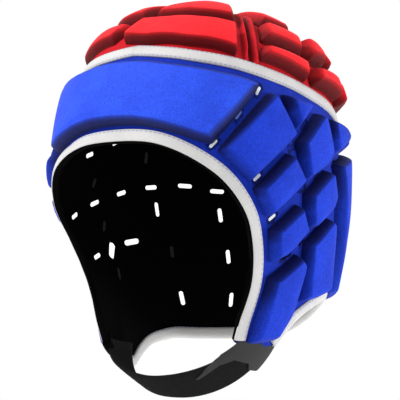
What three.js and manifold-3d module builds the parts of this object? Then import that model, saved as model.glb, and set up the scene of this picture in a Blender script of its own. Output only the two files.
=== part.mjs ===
// Rugby scrum cap: a black lining with two coloured skins over it, foam pads on the skins,
// a seam tape round the crown, bound edges and a chin strap.
// Millimetres, +Z up, face opening towards -Y, wearer's left towards +X.
// The part's origin is the highest point of the lining's inner face, where the cap sits on a head.
import * as THREE from 'three';
import { mergeVertices } from 'three/addons/utils/BufferGeometryUtils.js';
import Module from 'manifold-3d';

const wasm = await Module();
wasm.setup();

// Head form: the inner face of the lining, measured from the centre of the head form
const HALF_WIDTH = 80;
const FRONT_REACH = 97.4;
const BACK_REACH = 80.9;
const CROWN_HEIGHT = 111.2;
const NECK_REACH = 100;

// Sheets, from the lining outwards
const LINING = 1.6;
const SKIN = 1.4;
const SEW_GAP = 0.3;
const TAPE = 1.2;
const BINDING = 2.2;
const FOLD = 1.1;
const RIM_SLACK = 2;
const RIM_GAP = 1;

// Pads
const PAD_HEIGHT = 9;
const CROWN_PAD_HEIGHT = 8.5;
const SEAT_GAP = 0.7;

// Widths of tape and bindings
const TAPE_WIDTH = 8.5;
const FACE_BINDING_WIDTH = 8.5;
const NECK_BINDING_WIDTH = 7.5;

// Vent slots
const SLOT_LENGTH = 9;
const SLOT_WIDTH = 3;

// Chin strap
const STRAP_WIDTH = 27;
const STRAP_THICKNESS = 2.2;
const STRAP_GAP = 1.7;
const STRAP_OVERLAP = 19;
const STRAP_AZIMUTH = 74.5;
const CHIN_DROP = 27;
const CHIN_FORWARD = 14;
const CHIN_TILT = 26;
const TAB_WIDTH = 28;
const TAB_LENGTH = 34;
const TAB_THICKNESS = 1.1;
const TAB_RISE = 2;

// How square the form is in plan and in the dome, and the share each section loses below the centre
const PLAN_SQUARENESS = 2.58;
const DOME_SQUARENESS = 2.8;
const TAPER = { side: 0.27, back: 0.13, front: 0.445 };
const TAPER_FADE = 1.4;
const BACK_BLEND = 1.6;

// Levels above the form's own surface
const SKIN_INSIDE = LINING + SEW_GAP;
const SKIN_OUTSIDE = SKIN_INSIDE + SKIN;
const PAD_SEAT = SKIN_OUTSIDE + SEAT_GAP;

const rad = THREE.MathUtils.degToRad;
const deg = THREE.MathUtils.radToDeg;
const GAP_ANGLE = deg(SEW_GAP / CROWN_HEIGHT);

// Azimuth 0 is the brow, 90 the wearer's left ear, 180 the back; elevation is from the form's centre.
// Centre line of the seam tape
const TAPE_LINE = [
  { az: 0, el: 41.2 },
  { az: 15, el: 39.4 },
  { az: 30, el: 37.8 },
  { az: 45, el: 38.0 },
  { az: 60, el: 38.8 },
  { az: 88, el: 39.4 },
  { az: 108, el: 36.6 },
  { az: 125, el: 32.2 },
  { az: 150, el: 30.2 },
  { az: 180, el: 29.8 },
];

// Edge of the face opening, from the brow down the left cheek to the flap's front corner
const FACE_EDGE = [
  { az: 0, el: 7.4 },
  { az: 8, el: 7.1 },
  { az: 16, el: 6.1 },
  { az: 24.5, el: 3.4 },
  { az: 33.4, el: -0.9 },
  { az: 40.5, el: -5.4 },
  { az: 47.2, el: -11.7 },
  { az: 53.3, el: -19.8 },
  { az: 57.2, el: -28.7 },
  { az: 59.8, el: -37 },
  { az: 61, el: -44 },
  { az: 60.4, el: -50 },
  { az: 59.2, el: -55 },
  { az: 58.6, el: -58.8 },
];

// Neck rim, from the left flap's rear corner to the middle of the back
const NECK_EDGE = [
  { az: 93.6, el: -59.2 },
  { az: 97, el: -56.5 },
  { az: 103, el: -53.3 },
  { az: 112, el: -50.2 },
  { az: 127, el: -47.3 },
  { az: 145, el: -48.3 },
  { az: 165, el: -49.8 },
  { az: 180, el: -50.1 },
];

// Elevation of the flaps' lower ends
const FLAP_END = -59.5;

// Crease between the front and rear crown panels, by sideways angle and forward lean from straight up
const CROWN_CREASE = [
  { side: 0, lean: -1.5 },
  { side: 8, lean: 3 },
  { side: 17, lean: 11.2 },
  { side: 26, lean: 22.5 },
  { side: 36, lean: 36.5 },
  { side: 42, lean: 46 },
];

// Brow pad, right half of its outline: lower edge and upper edge at the same station
const BROW_PAD = [
  { lowAz: 0, lowEl: 13.2, highAz: 0, highEl: 36.6 },
  { lowAz: 12, lowEl: 12.2, highAz: 18, highEl: 34.8 },
  { lowAz: 24, lowEl: 9.6, highAz: 36, highEl: 33.4 },
  { lowAz: 36.6, lowEl: 6.4, highAz: 54.6, highEl: 33.2 },
];

// Blue side pads of the wearer's left: corners in turn from the lowest front one, as [azimuth, elevation]
const SIDE_PADS = [
  { name: 'temple', corners: [[39.6, 4.1], [52.4, -5.4], [73.2, 17], [60.2, 31.2]] },
  { name: 'temple_wedge', corners: [[74.4, 21], [76.4, 21.2], [90, 33.6], [66.8, 32.6]] },
  { name: 'upper_ear', corners: [[82.8, -0.9], [105.6, 11.8], [98.6, 31.2], [77, 17]] },
  { name: 'rear_upper', corners: [[109.2, 16], [128, 14.8], [127.6, 26.6], [103.2, 30.6]] },
  { name: 'front_ear', corners: [[54.3, -8.3], [62.4, -18.8], [81.8, -2.2], [71.4, 10]] },
  { name: 'rear_ear', corners: [[85.2, -5.8], [92, -20.6], [112.2, -4.4], [105, 8]] },
  { name: 'rear_side', corners: [[138, -39], [158, -41], [147.6, 7.2], [116, 12]] },
  { name: 'low_ear', corners: [[69, -36], [88.2, -22.6], [80.3, -11.4], [64.6, -23.2]] },
  { name: 'jaw_rear', corners: [[98.8, -48], [125, -39], [113.4, -13], [91.6, -27]] },
  { name: 'jaw_front', corners: [[71.2, -57], [87, -55.6], [90.6, -35], [73, -41.2]] },
  { name: 'back_upper', corners: [[131, 13.8], [178.3, 11.8], [178.2, 24.4], [130.8, 26.2]] },
];

// Blue pads that cross the middle of the back
const BACK_PADS = [
  { name: 'back_middle', corners: [[159.8, -19], [200.2, -19], [207.4, 7], [152.6, 7]] },
  { name: 'back_low', corners: [[163.6, -42], [196.4, -42], [199.4, -22.6], [160.6, -22.6]] },
];

// Red crown pads of the wearer's left
const CROWN_PADS = [
  { name: 'front_low', corners: [[2.2, 46.4], [45, 43], [46, 59.6], [3.6, 60.8]] },
  { name: 'front_high', corners: [[4.2, 63.6], [46.6, 62.4], [50, 73.2], [27, 85]] },
  { name: 'side_low', corners: [[57.4, 44], [90.6, 44], [95.4, 51.4], [62.4, 51.6]] },
  { name: 'side_high', corners: [[61, 54.4], [92, 54.4], [103, 61], [70, 66.4]] },
  { name: 'top', corners: [[71.4, 69.2], [107, 64.6], [127, 77], [110, 86.6]] },
  { name: 'rear_low', corners: [[95, 43.4], [120.6, 38.6], [119.6, 47.6], [99, 51]] },
  { name: 'rear_high', corners: [[97, 54], [119.4, 50.8], [115.6, 59.4], [107, 61.8]] },
  { name: 'back_low_side', corners: [[124.2, 37.4], [150.4, 35.2], [150.6, 44.6], [123.4, 46]] },
  { name: 'back_high_side', corners: [[123, 49.2], [148.6, 47.8], [146.4, 60], [120, 59.8]] },
  { name: 'back_top', corners: [[113, 64.4], [176.6, 63.8], [173, 80], [131, 76.2]] },
];

// Red crown pads that cross the middle
const CROWN_MIDDLE_PADS = [
  { name: 'back_low_middle', corners: [[153.8, 35], [206.2, 35], [206.6, 44.4], [153.4, 44.4]] },
  { name: 'back_high_middle', corners: [[152.2, 47.8], [207.8, 47.8], [210, 60.4], [150, 60.4]] },
];

// Vent slots of the left half: place, and the angle of the slot's length above the level line
const SLOTS = [
  { az: 56.4, el: 30.2, turn: 60 },
  { az: 39, el: 7.2, turn: 52 },
  { az: 56, el: -3.7, turn: 46 },
  { az: 66.6, el: -18.5, turn: 42 },
  { az: 83.8, el: -3.6, turn: 26 },
  { az: 97, el: 4.6, turn: 28 },
  { az: 114.5, el: 14.2, turn: 6 },
  { az: 134, el: 10.8, turn: -8 },
  { az: 149.4, el: 9.4, turn: -2 },
  { az: 151.2, el: -2, turn: 98 },
  { az: 90.2, el: -24.6, turn: 62 },
];

// Notch in the strap tab's free end: shares of its length and width, from the rear corner round
const TAB_NOTCH = [
  { along: 0.70, across: 0.70 },
  { along: 0.62, across: 0.30 },
  { along: 0.38, across: 0.20 },
  { along: 0.34, across: -0.02 },
  { along: 0.50, across: -0.20 },
  { along: 1.08, across: -0.46 },
  { along: 1.30, across: 0.70 },
];

const COLOURS = {
  lining: { color: 0x0b0b0d, roughness: 0.9, metalness: 0 },
  blue: { color: 0x2444d8, roughness: 0.55, metalness: 0 },
  red: { color: 0xe0323c, roughness: 0.55, metalness: 0 },
  tape: { color: 0xcfcdcc, roughness: 0.6, metalness: 0 },
  strap: { color: 0x17171a, roughness: 0.95, metalness: 0 },
  tab: { color: 0x3c3e42, roughness: 0.7, metalness: 0 },
};

const group = new THREE.Group();

// Unit direction from the form's centre
function direction(az, el) {
  const a = rad(az);
  const e = rad(el);
  return new THREE.Vector3(Math.sin(a) * Math.cos(e), -Math.cos(a) * Math.cos(e), Math.sin(e));
}

// Share of a section's size that is lost at a depth below the centre
function taperShare(d, depth) {
  const backward = d.y / Math.max(Math.hypot(d.x, d.y), 1e-9);
  const toBack = Math.min(Math.max(BACK_BLEND * backward, 0), 1);
  const toFront = Math.max(-backward, 0) ** 2;
  const full = TAPER.side + (TAPER.back - TAPER.side) * toBack + (TAPER.front - TAPER.side) * toFront;
  const t = Math.max(depth, 0) / NECK_REACH;
  return (full * t * t) / Math.sqrt(1 + (t / TAPER_FADE) ** 4);
}

// Distance from the centre to the form's surface
function reach(d) {
  const reachY = d.y < 0 ? FRONT_REACH : BACK_REACH;
  const plan = Math.abs(d.x / HALF_WIDTH) ** PLAN_SQUARENESS + Math.abs(d.y / reachY) ** PLAN_SQUARENESS;
  const n = Math.max(plan ** (1 / PLAN_SQUARENESS), 1e-3);
  if (d.z >= 0) return (n ** DOME_SQUARENESS + (d.z / CROWN_HEIGHT) ** DOME_SQUARENESS) ** (-1 / DOME_SQUARENESS);
  let r = Math.min(1 / n, 3 * CROWN_HEIGHT);
  for (let i = 0; i < 25; i++) r = 0.5 * (r + (1 - taperShare(d, -r * d.z)) / n);
  return r;
}

// Outward normal of the form in a direction
function formNormal(d) {
  const step = 1e-3;
  const u = new THREE.Vector3(0.3, 0.2, 1).cross(d).normalize();
  const v = d.clone().cross(u);
  const at = (axis, s) => {
    const q = d.clone().addScaledVector(axis, s).normalize();
    return q.multiplyScalar(reach(q));
  };
  const du = at(u, step).sub(at(u, -step));
  const dv = at(v, step).sub(at(v, -step));
  const n = du.cross(dv).normalize();
  return n.dot(d) < 0 ? n.negate() : n;
}

// Point at a level above the form, in the form's frame
function onForm(d, level) {
  return d.clone().multiplyScalar(reach(d)).addScaledVector(formNormal(d), level);
}

// Direction that lies a distance sideways on the form from a direction
function sidestep(d, sideways, distance) {
  return onForm(d, 0).addScaledVector(sideways, distance).normalize();
}

// Smooth run of directions through a table of azimuths and elevations
function smoothRun(table, steps) {
  const curve = new THREE.CatmullRomCurve3(table.map((row) => direction(row.az, row.el)), false, 'centripetal');
  return curve.getPoints(steps).map((p) => p.normalize());
}

function mirrored(run) {
  return run.map((d) => new THREE.Vector3(-d.x, d.y, d.z));
}

// Left run, that starts in the middle, joined to its mirror image: right end, middle, left end
function bothSides(run) {
  return [...mirrored(run).reverse(), ...run.slice(1)];
}

// Sideways directions on the form along a run of directions, to the left of the way it goes
function sideways(run) {
  const points = run.map((d) => onForm(d, 0));
  return points.map((p, i) => {
    const ahead = points[Math.min(i + 1, points.length - 1)];
    const behind = points[Math.max(i - 1, 0)];
    return formNormal(run[i]).cross(ahead.clone().sub(behind)).normalize();
  });
}

function shifted(run, distance) {
  const across = sideways(run);
  return run.map((d, i) => sidestep(d, across[i], distance));
}

// Closed mesh from a list of points and a list of faces
function geometryOf(points, faces) {
  const geometry = new THREE.BufferGeometry();
  const values = new Float32Array(points.flatMap((p) => [p.x, p.y, p.z]));
  geometry.setAttribute('position', new THREE.BufferAttribute(values, 3));
  geometry.setIndex(faces.flat());
  return geometry;
}

function solidOf(geometry) {
  const merged = mergeVertices(geometry, 1e-4);
  return new wasm.Manifold(new wasm.Mesh({
    numProp: 3,
    vertProperties: merged.attributes.position.array,
    triVerts: new Uint32Array(merged.index.array),
  }));
}

function geometryOfSolid(solid) {
  const mesh = solid.getMesh();
  const geometry = new THREE.BufferGeometry();
  geometry.setAttribute('position', new THREE.BufferAttribute(new Float32Array(mesh.vertProperties), 3));
  geometry.setIndex(new THREE.BufferAttribute(new Uint32Array(mesh.triVerts), 1));
  return geometry;
}

// Largest piece of a cut solid, without crumbs left by the cut
function largest(solid) {
  return solid.decompose().reduce((a, b) => (b.volume() > a.volume() ? b : a));
}

// Sheet whose section is a closed loop of points, carried along a list of stations
function sweep(stations, closed) {
  const count = stations[0].length;
  const points = stations.flat();
  const faces = [];
  const last = closed ? stations.length : stations.length - 1;
  for (let i = 0; i < last; i++) {
    const a = i * count;
    const b = ((i + 1) % stations.length) * count;
    for (let j = 0; j < count; j++) {
      const k = (j + 1) % count;
      faces.push([a + j, b + j, b + k], [a + j, b + k, a + k]);
    }
  }
  if (!closed) {
    const flat = (j) => stations[0][j];
    const corners = triangulateSection(stations[0].length, flat);
    const end = (stations.length - 1) * count;
    corners.forEach(([p, q, r]) => faces.push([p, q, r], [end + p, end + r, end + q]));
  }
  return outward(geometryOf(points, faces));
}

// Triangles over a section that is planar or nearly so
function triangulateSection(count, at) {
  const origin = at(0);
  const u = at(1).clone().sub(origin).normalize();
  const normal = new THREE.Vector3();
  for (let j = 0; j < count; j++) normal.add(at(j).clone().sub(origin).cross(at((j + 1) % count).clone().sub(origin)));
  normal.normalize();
  const v = normal.clone().cross(u);
  const flat = Array.from({ length: count }, (_, j) => {
    const p = at(j).clone().sub(origin);
    return new THREE.Vector2(p.dot(u), p.dot(v));
  });
  return THREE.ShapeUtils.triangulateShape(flat, []);
}

// Same mesh with its faces turned outwards
function outward(geometry) {
  const p = geometry.attributes.position;
  const index = geometry.index.array;
  const corner = (i) => new THREE.Vector3().fromBufferAttribute(p, index[i]);
  let volume = 0;
  for (let i = 0; i < index.length; i += 3) volume += corner(i).dot(corner(i + 1).cross(corner(i + 2)));
  if (volume < 0) for (let i = 0; i < index.length; i += 3) [index[i], index[i + 1]] = [index[i + 1], index[i]];
  return geometry;
}

// Block that passes through the form square to it, along a loop of directions round a middle one
const BLOCK_INSIDE = 12;
const BLOCK_OUTSIDE = 25;
function block(loop, middle) {
  const count = loop.length;
  const points = [
    ...loop.map((d) => onForm(d, -BLOCK_INSIDE)),
    ...loop.map((d) => onForm(d, BLOCK_OUTSIDE)),
    middle.clone().multiplyScalar(BLOCK_INSIDE),
    middle.clone().multiplyScalar(2 * CROWN_HEIGHT),
  ];
  const faces = [];
  for (let j = 0; j < count; j++) {
    const k = (j + 1) % count;
    faces.push([j, k, count + k], [j, count + k, count + j]);
    faces.push([k, j, 2 * count], [count + j, count + k, 2 * count + 1]);
  }
  return solidOf(outward(geometryOf(points, faces)));
}

// Whole shell between two levels, open at the bottom, before it is cut to its outline
const SHELL_COLUMNS = 24;
const SHELL_ROWS = [-68, -59, -48, -36, -22, -8, 8, 24, 38, 52, 66, 80];
function shell(low, high) {
  const points = [];
  const rows = SHELL_ROWS.length;
  const at = (column, row, face) => ((column % SHELL_COLUMNS) * rows + row) * 2 + face;
  for (let i = 0; i < SHELL_COLUMNS; i++) {
    for (const el of SHELL_ROWS) {
      const d = direction((360 * i) / SHELL_COLUMNS, el);
      points.push(onForm(d, low), onForm(d, high));
    }
  }
  const top = points.length;
  const up = new THREE.Vector3(0, 0, 1);
  points.push(onForm(up, low), onForm(up, high));
  const faces = [];
  for (let i = 0; i < SHELL_COLUMNS; i++) {
    for (let j = 0; j < rows - 1; j++) {
      const [a, b, c, d] = [at(i, j, 1), at(i + 1, j, 1), at(i + 1, j + 1, 1), at(i, j + 1, 1)];
      faces.push([a, b, c], [a, c, d], [a - 1, c - 1, b - 1], [a - 1, d - 1, c - 1]);
    }
    faces.push([at(i, 0, 0), at(i + 1, 0, 0), at(i + 1, 0, 1)], [at(i, 0, 0), at(i + 1, 0, 1), at(i, 0, 1)]);
    faces.push([at(i, rows - 1, 1), at(i + 1, rows - 1, 1), top + 1]);
    faces.push([at(i + 1, rows - 1, 0), at(i, rows - 1, 0), top]);
  }
  return solidOf(outward(geometryOf(points, faces)));
}

// Runs of the edges and the tape
const faceRun = smoothRun(FACE_EDGE, 18);
const neckRun = smoothRun(NECK_EDGE, 14);
const tapeRun = smoothRun(TAPE_LINE, 18);
const DOWN = new THREE.Vector3(0, 0, -1);
const UP = new THREE.Vector3(0, 0, 1);

// Face opening, made wider by a distance along the form
function faceCut(wider) {
  const edge = shifted(bothSides(faceRun), wider);
  const below = [60, 30, 0, -30, -60].map((az) => direction(az, -76));
  return block([...edge, ...below], direction(0, -34));
}

// Everything below the flaps' ends and the neck rim
function neckCut() {
  const flapEnd = [56, 64, 74, 84].map((az) => direction(az, FLAP_END));
  const left = [...flapEnd, ...neckRun];
  const front = [-45, -30, -15, 0, 15, 30, 45].map((az) => direction(az, -62));
  return block([...front, ...left, ...mirrored(left).reverse().slice(1)], DOWN);
}

// Everything above, or below, the tape's centre line
function ringRun(run, lift) {
  const whole = [...run, ...mirrored(run).reverse().slice(1, -1)];
  return whole.map((d) => direction(deg(Math.atan2(d.x, -d.y)), deg(Math.asin(d.z)) + lift));
}
const aboveTape = (lift) => block(ringRun(tapeRun, lift), UP);

// Everything in front of the crown crease
function creaseRun(shift) {
  const curve = new THREE.CatmullRomCurve3(CROWN_CREASE.map(({ side, lean }) => {
    const s = rad(side);
    const l = rad(lean + shift);
    return new THREE.Vector3(Math.sin(s), -Math.cos(s) * Math.sin(l), Math.cos(s) * Math.cos(l));
  }), false, 'centripetal');
  return bothSides(curve.getPoints(12).map((p) => p.normalize()));
}
function frontOfCrease(shift) {
  const below = [48, 24, 0, -24, -48].map((az) => direction(az, 24));
  return block([...creaseRun(shift), ...below], direction(0, 50));
}

// All vent slots as thin blocks that stand on the form
function slotBlocks() {
  const blocks = [];
  for (const slot of SLOTS) {
    for (const side of [1, -1]) {
      const d = direction(side * slot.az, slot.el);
      const n = formNormal(d);
      const level = new THREE.Vector3(0, 0, 1).cross(n).normalize();
      const rise = n.clone().cross(level);
      const along = level.clone().multiplyScalar(Math.cos(rad(slot.turn)) * side)
        .addScaledVector(rise, Math.sin(rad(slot.turn)));
      const across = n.clone().cross(along);
      const corner = (u, v, w) => onForm(d, w).addScaledVector(along, u).addScaledVector(across, v);
      const [l, h] = [SLOT_LENGTH / 2, SLOT_WIDTH / 2];
      const section = (w) => [corner(-l, -h, w), corner(l, -h, w), corner(l, h, w), corner(-l, h, w)];
      blocks.push(solidOf(sweep([section(-LINING), section(PAD_SEAT + LINING)], false)));
    }
  }
  return blocks;
}

function cutAll(solid, tools) {
  return largest(tools.reduce((s, tool) => s.subtract(tool), solid));
}

// Lining, cut to the face opening and the neck
function lining() {
  return geometryOfSolid(cutAll(shell(0, LINING), [faceCut(0), neckCut(), ...slotBlocks()]));
}

// Blue skin of the band, from the tape down to the flaps' ends
function bandSkin() {
  const face = faceCut(FACE_BINDING_WIDTH + 2 * SEW_GAP);
  const tools = [face, neckCut(), aboveTape(-GAP_ANGLE / 2), ...slotBlocks()];
  return geometryOfSolid(cutAll(shell(SKIN_INSIDE, SKIN_OUTSIDE), tools));
}

// Red skins of the crown, in front of and behind the crease
function crownSkins() {
  const whole = shell(SKIN_INSIDE, SKIN_OUTSIDE).intersect(aboveTape(GAP_ANGLE / 2));
  const front = largest(whole.intersect(frontOfCrease(GAP_ANGLE)));
  const rear = largest(whole.subtract(frontOfCrease(-GAP_ANGLE)));
  return [front, rear].map(geometryOfSolid);
}

// Rectangular band that lies on the form beside a run of directions
function bandOnForm(run, from, to, low, high) {
  const across = sideways(run);
  const stations = run.map((d, i) => {
    const near = sidestep(d, across[i], from);
    const far = sidestep(d, across[i], to);
    return [onForm(near, low), onForm(far, low), onForm(far, high), onForm(near, high)];
  });
  return sweep(stations, false);
}

function seamTape() {
  const ring = ringRun(tapeRun, 0);
  const points = ring.map((d) => onForm(d, 0));
  const top = PAD_SEAT + TAPE;
  const stations = ring.map((d, i) => {
    const ahead = points[(i + 1) % ring.length];
    const behind = points[(i + ring.length - 1) % ring.length];
    const across = formNormal(d).cross(ahead.clone().sub(behind)).normalize();
    const near = sidestep(d, across, -TAPE_WIDTH / 2);
    const far = sidestep(d, across, TAPE_WIDTH / 2);
    return [onForm(near, PAD_SEAT), onForm(far, PAD_SEAT), onForm(far, top), onForm(near, top)];
  });
  return sweep(stations, true);
}

function faceBinding() {
  return bandOnForm(bothSides(faceRun), 0, FACE_BINDING_WIDTH, SKIN_INSIDE, SKIN_INSIDE + BINDING);
}

// Folded binding: one leg inside the lining, one outside the skin, closed under the rim
function neckBinding() {
  const whole = [...neckRun, ...mirrored(neckRun).reverse().slice(1)];
  const across = sideways(whole);
  const gap = RIM_GAP;
  const inner = -RIM_SLACK;
  const outer = PAD_SEAT;
  const fold = [
    [-gap - FOLD, inner - FOLD],
    [NECK_BINDING_WIDTH, inner - FOLD],
    [NECK_BINDING_WIDTH, inner],
    [-gap, inner],
    [-gap, outer],
    [NECK_BINDING_WIDTH, outer],
    [NECK_BINDING_WIDTH, outer + FOLD],
    [-gap - FOLD, outer + FOLD],
  ];
  const stations = whole.map((d, i) => fold.map(([up, level]) => onForm(sidestep(d, across[i], up), level)));
  return sweep(stations, false);
}

// Pad over a patch with four edges: rows and columns run from edge to edge, with a bevel all round
const BEVEL = 5;
const EDGE_SHARE = 0.62;
const PAD_CELL = 17;
function sharesAlong(place, ends) {
  const spans = ends.map(([from, to]) => {
    const middle = [(from[0] + to[0]) / 2, (from[1] + to[1]) / 2];
    const [a, b, c] = [from, middle, to].map((at) => onForm(place(...at), 0));
    return a.distanceTo(b) + b.distanceTo(c);
  });
  const longest = Math.max(...spans);
  const bevel = BEVEL / Math.max(Math.min(...spans), 4 * BEVEL);
  const cells = Math.max(1, Math.ceil((longest - 2 * BEVEL) / PAD_CELL));
  const inner = Array.from({ length: cells + 1 }, (_, i) => bevel + ((1 - 2 * bevel) * i) / cells);
  return [0, ...inner, 1];
}
function padOnPatch(place, height) {
  const us = sharesAlong(place, [[[0, 0], [1, 0]], [[0, 1], [1, 1]]]);
  const vs = sharesAlong(place, [[[0, 0], [0, 1]], [[0.5, 0], [0.5, 1]], [[1, 0], [1, 1]]]);
  const columns = us.length - 1;
  const rows = vs.length - 1;
  const onEdge = (s) => s === 0 || s === 1;
  const low = [];
  const high = [];
  vs.forEach((v) => us.forEach((u) => {
    const d = place(u, v);
    low.push(onForm(d, PAD_SEAT));
    high.push(onForm(d, PAD_SEAT + height * (onEdge(u) || onEdge(v) ? EDGE_SHARE : 1)));
  }));
  const wide = us.length;
  const above = low.length;
  const at = (i, j) => j * wide + i;
  const faces = [];
  for (let j = 0; j < rows; j++) {
    for (let i = 0; i < columns; i++) {
      const [a, b, c, d] = [at(i, j), at(i + 1, j), at(i + 1, j + 1), at(i, j + 1)];
      faces.push([a, c, b], [a, d, c], [above + a, above + b, above + c], [above + a, above + c, above + d]);
    }
  }
  const rim = [];
  for (let i = 0; i < columns; i++) rim.push(at(i, 0));
  for (let j = 0; j < rows; j++) rim.push(at(columns, j));
  for (let i = columns; i > 0; i--) rim.push(at(i, rows));
  for (let j = rows; j > 0; j--) rim.push(at(0, j));
  rim.forEach((a, i) => {
    const b = rim[(i + 1) % rim.length];
    faces.push([a, b, above + b], [a, above + b, above + a]);
  });
  return outward(geometryOf([...low, ...high], faces));
}

function cornerPad(corners, height) {
  const [a, b, c, d] = corners.map(([az, el]) => direction(az, el));
  const place = (u, v) => {
    const low = a.clone().lerp(b, u);
    const high = d.clone().lerp(c, u);
    return low.lerp(high, v).normalize();
  };
  return padOnPatch(place, height);
}

function browPad() {
  const low = smoothRun(BROW_PAD.map((row) => ({ az: row.lowAz, el: row.lowEl })), 8);
  const high = smoothRun(BROW_PAD.map((row) => ({ az: row.highAz, el: row.highEl })), 8);
  const [lower, upper] = [bothSides(low), bothSides(high)];
  const last = lower.length - 1;
  const along = (run, u) => {
    const i = Math.min(Math.floor(u * last), last - 1);
    return run[i].clone().lerp(run[i + 1], u * last - i);
  };
  return padOnPatch((u, v) => along(lower, u).lerp(along(upper, u), v).normalize(), PAD_HEIGHT);
}

// Chin strap: up inside each flap, and in a sagging arc from one flap to the other
const FOOT_BELOW = 3;
const strapFoot = direction(STRAP_AZIMUTH, FLAP_END - FOOT_BELOW);
const footPoint = onForm(strapFoot, -STRAP_GAP - STRAP_THICKNESS / 2);
const ARC_STEPS = 20;
const ARC_START = rad(20);
const STRAP_RISES = [1, 0.7, 0.4, 0.2, 0];
const FLAP_RADIUS = reach(strapFoot) * Math.cos(rad(FLAP_END));

// Share of the arc's sag at a turn: 0 where it leaves a flap, 1 under the chin
function sagAt(turn) {
  const start = Math.sin(ARC_START);
  return (Math.sin(turn) - start) / (1 - start);
}

function strapAcross(turn) {
  const tilt = rad(CHIN_TILT) * sagAt(turn);
  return new THREE.Vector3(0, Math.cos(tilt), -Math.sin(tilt));
}

function strapCentre(turn) {
  const sag = sagAt(turn);
  return new THREE.Vector3(
    footPoint.x * Math.cos(turn) / Math.cos(ARC_START),
    footPoint.y - CHIN_FORWARD * sag,
    footPoint.z - CHIN_DROP * sag,
  );
}

// Place on the hanging part of the strap: turn of the arc, distance across, level above its middle
function onStrap(turn, across, level) {
  const centre = strapCentre(turn);
  const step = 0.01;
  const tangent = strapCentre(turn + step).sub(strapCentre(turn - step)).normalize();
  const wide = strapAcross(turn);
  const out = wide.clone().cross(tangent).normalize();
  if (out.dot(new THREE.Vector3(Math.cos(turn), 0, -Math.sin(turn))) < 0) out.negate();
  const curl = (across ** 2 * Math.cos(turn) ** 2) / (2 * FLAP_RADIUS);
  return centre.addScaledVector(wide, across).addScaledVector(out, level - curl);
}

// Section of a flat band, as places across it from front to rear and back on the other face
const BAND_PLACES = [-0.5, -0.17, 0.17, 0.5];
function bandSection(at, width, low, high) {
  const there = BAND_PLACES.map((s) => at(s * width, low));
  const back = [...BAND_PLACES].reverse().map((s) => at(s * width, high));
  return [...there, ...back];
}

// Place on the part of the strap that lies inside a flap
function onFlap(side, rise, across, level) {
  const upward = sidestep(strapFoot, new THREE.Vector3(0, 0, 1), rise);
  const n = formNormal(upward);
  const level0 = new THREE.Vector3(0, 0, 1).cross(n).normalize();
  const d = sidestep(upward, level0, across);
  const p = onForm(d, level - STRAP_GAP - STRAP_THICKNESS / 2);
  return new THREE.Vector3(side * p.x, p.y, p.z);
}

function chinStrap() {
  const half = STRAP_THICKNESS / 2;
  const flap = (side) => STRAP_RISES.map((share) =>
    bandSection((s, w) => onFlap(side, share * STRAP_OVERLAP, s, w), STRAP_WIDTH, -half, half));
  const arc = [];
  for (let i = 1; i < ARC_STEPS; i++) {
    const turn = ARC_START + ((Math.PI - 2 * ARC_START) * i) / ARC_STEPS;
    arc.push(bandSection((s, w) => onStrap(turn, s, w), STRAP_WIDTH, -half, half));
  }
  return sweep([...flap(1), ...arc, ...flap(-1).reverse()], false);
}

// Smooth tab on the outer face of the strap, below the left flap, with a notched free end
const TAB_STEPS = 7;
function strapTab() {
  const low = STRAP_THICKNESS / 2 + 2.5 * SEW_GAP;
  const arcRadius = footPoint.x / Math.cos(ARC_START);
  const at = (along, across, level) => {
    const below = along * TAB_LENGTH - TAB_RISE;
    if (below < SEW_GAP) return onFlap(1, Math.max(-below, 0), across, level);
    return onStrap(ARC_START + below / arcRadius, across, level);
  };
  const bend = TAB_RISE / TAB_LENGTH;
  const shares = Array.from({ length: TAB_STEPS + 1 }, (_, i) => bend + ((1 - bend) * i) / TAB_STEPS);
  const stations = [0, ...shares].map((along) =>
    bandSection((s, w) => at(along, s, w), TAB_WIDTH, low, low + TAB_THICKNESS));
  const notch = (level) => TAB_NOTCH.map(({ along, across }) => at(along, across * TAB_WIDTH, level));
  const cutter = solidOf(sweep([notch(low - STRAP_THICKNESS), notch(low + 3 * TAB_THICKNESS)], false));
  return geometryOfSolid(largest(solidOf(sweep(stations, false)).subtract(cutter)));
}

// Each piece is a mesh of its own, moved so that the inside of the crown is at the origin
function add(name, geometry, colour) {
  const mesh = new THREE.Mesh(geometry, new THREE.MeshStandardMaterial(COLOURS[colour]));
  mesh.name = name;
  mesh.position.z = -CROWN_HEIGHT;
  group.add(mesh);
}

function addPads(pads, prefix, height, colour) {
  for (const pad of pads) {
    add(`${prefix}_${pad.name}_left`, cornerPad(pad.corners, height), colour);
    const other = pad.corners.map(([az, el]) => [-az, el]);
    add(`${prefix}_${pad.name}_right`, cornerPad(other, height), colour);
  }
}

add('lining', lining(), 'lining');
add('band_skin', bandSkin(), 'blue');
const [frontSkin, rearSkin] = crownSkins();
add('crown_skin_front', frontSkin, 'red');
add('crown_skin_rear', rearSkin, 'red');
add('seam_tape', seamTape(), 'tape');
add('face_binding', faceBinding(), 'tape');
add('neck_binding', neckBinding(), 'tape');
add('pad_brow', browPad(), 'blue');
addPads(SIDE_PADS, 'pad', PAD_HEIGHT, 'blue');
for (const pad of BACK_PADS) add(`pad_${pad.name}`, cornerPad(pad.corners, PAD_HEIGHT), 'blue');
addPads(CROWN_PADS, 'crown', CROWN_PAD_HEIGHT, 'red');
for (const pad of CROWN_MIDDLE_PADS) add(`crown_${pad.name}`, cornerPad(pad.corners, CROWN_PAD_HEIGHT), 'red');
add('chin_strap', chinStrap(), 'strap');
add('strap_tab', strapTab(), 'tab');

export default group;
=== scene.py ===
"""Rugby scrum cap: foam pads, knit skins, tape, bindings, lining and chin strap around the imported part.

Lengths are millimetres from the centre of the head form until a mesh is made, in metres, in the part's frame.
Azimuth 0 is the brow, 90 the wearer's left ear and 180 the back; elevation is from the form's centre.
"""
import math

import bpy
import numpy as np
from mathutils import Matrix, Vector


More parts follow.
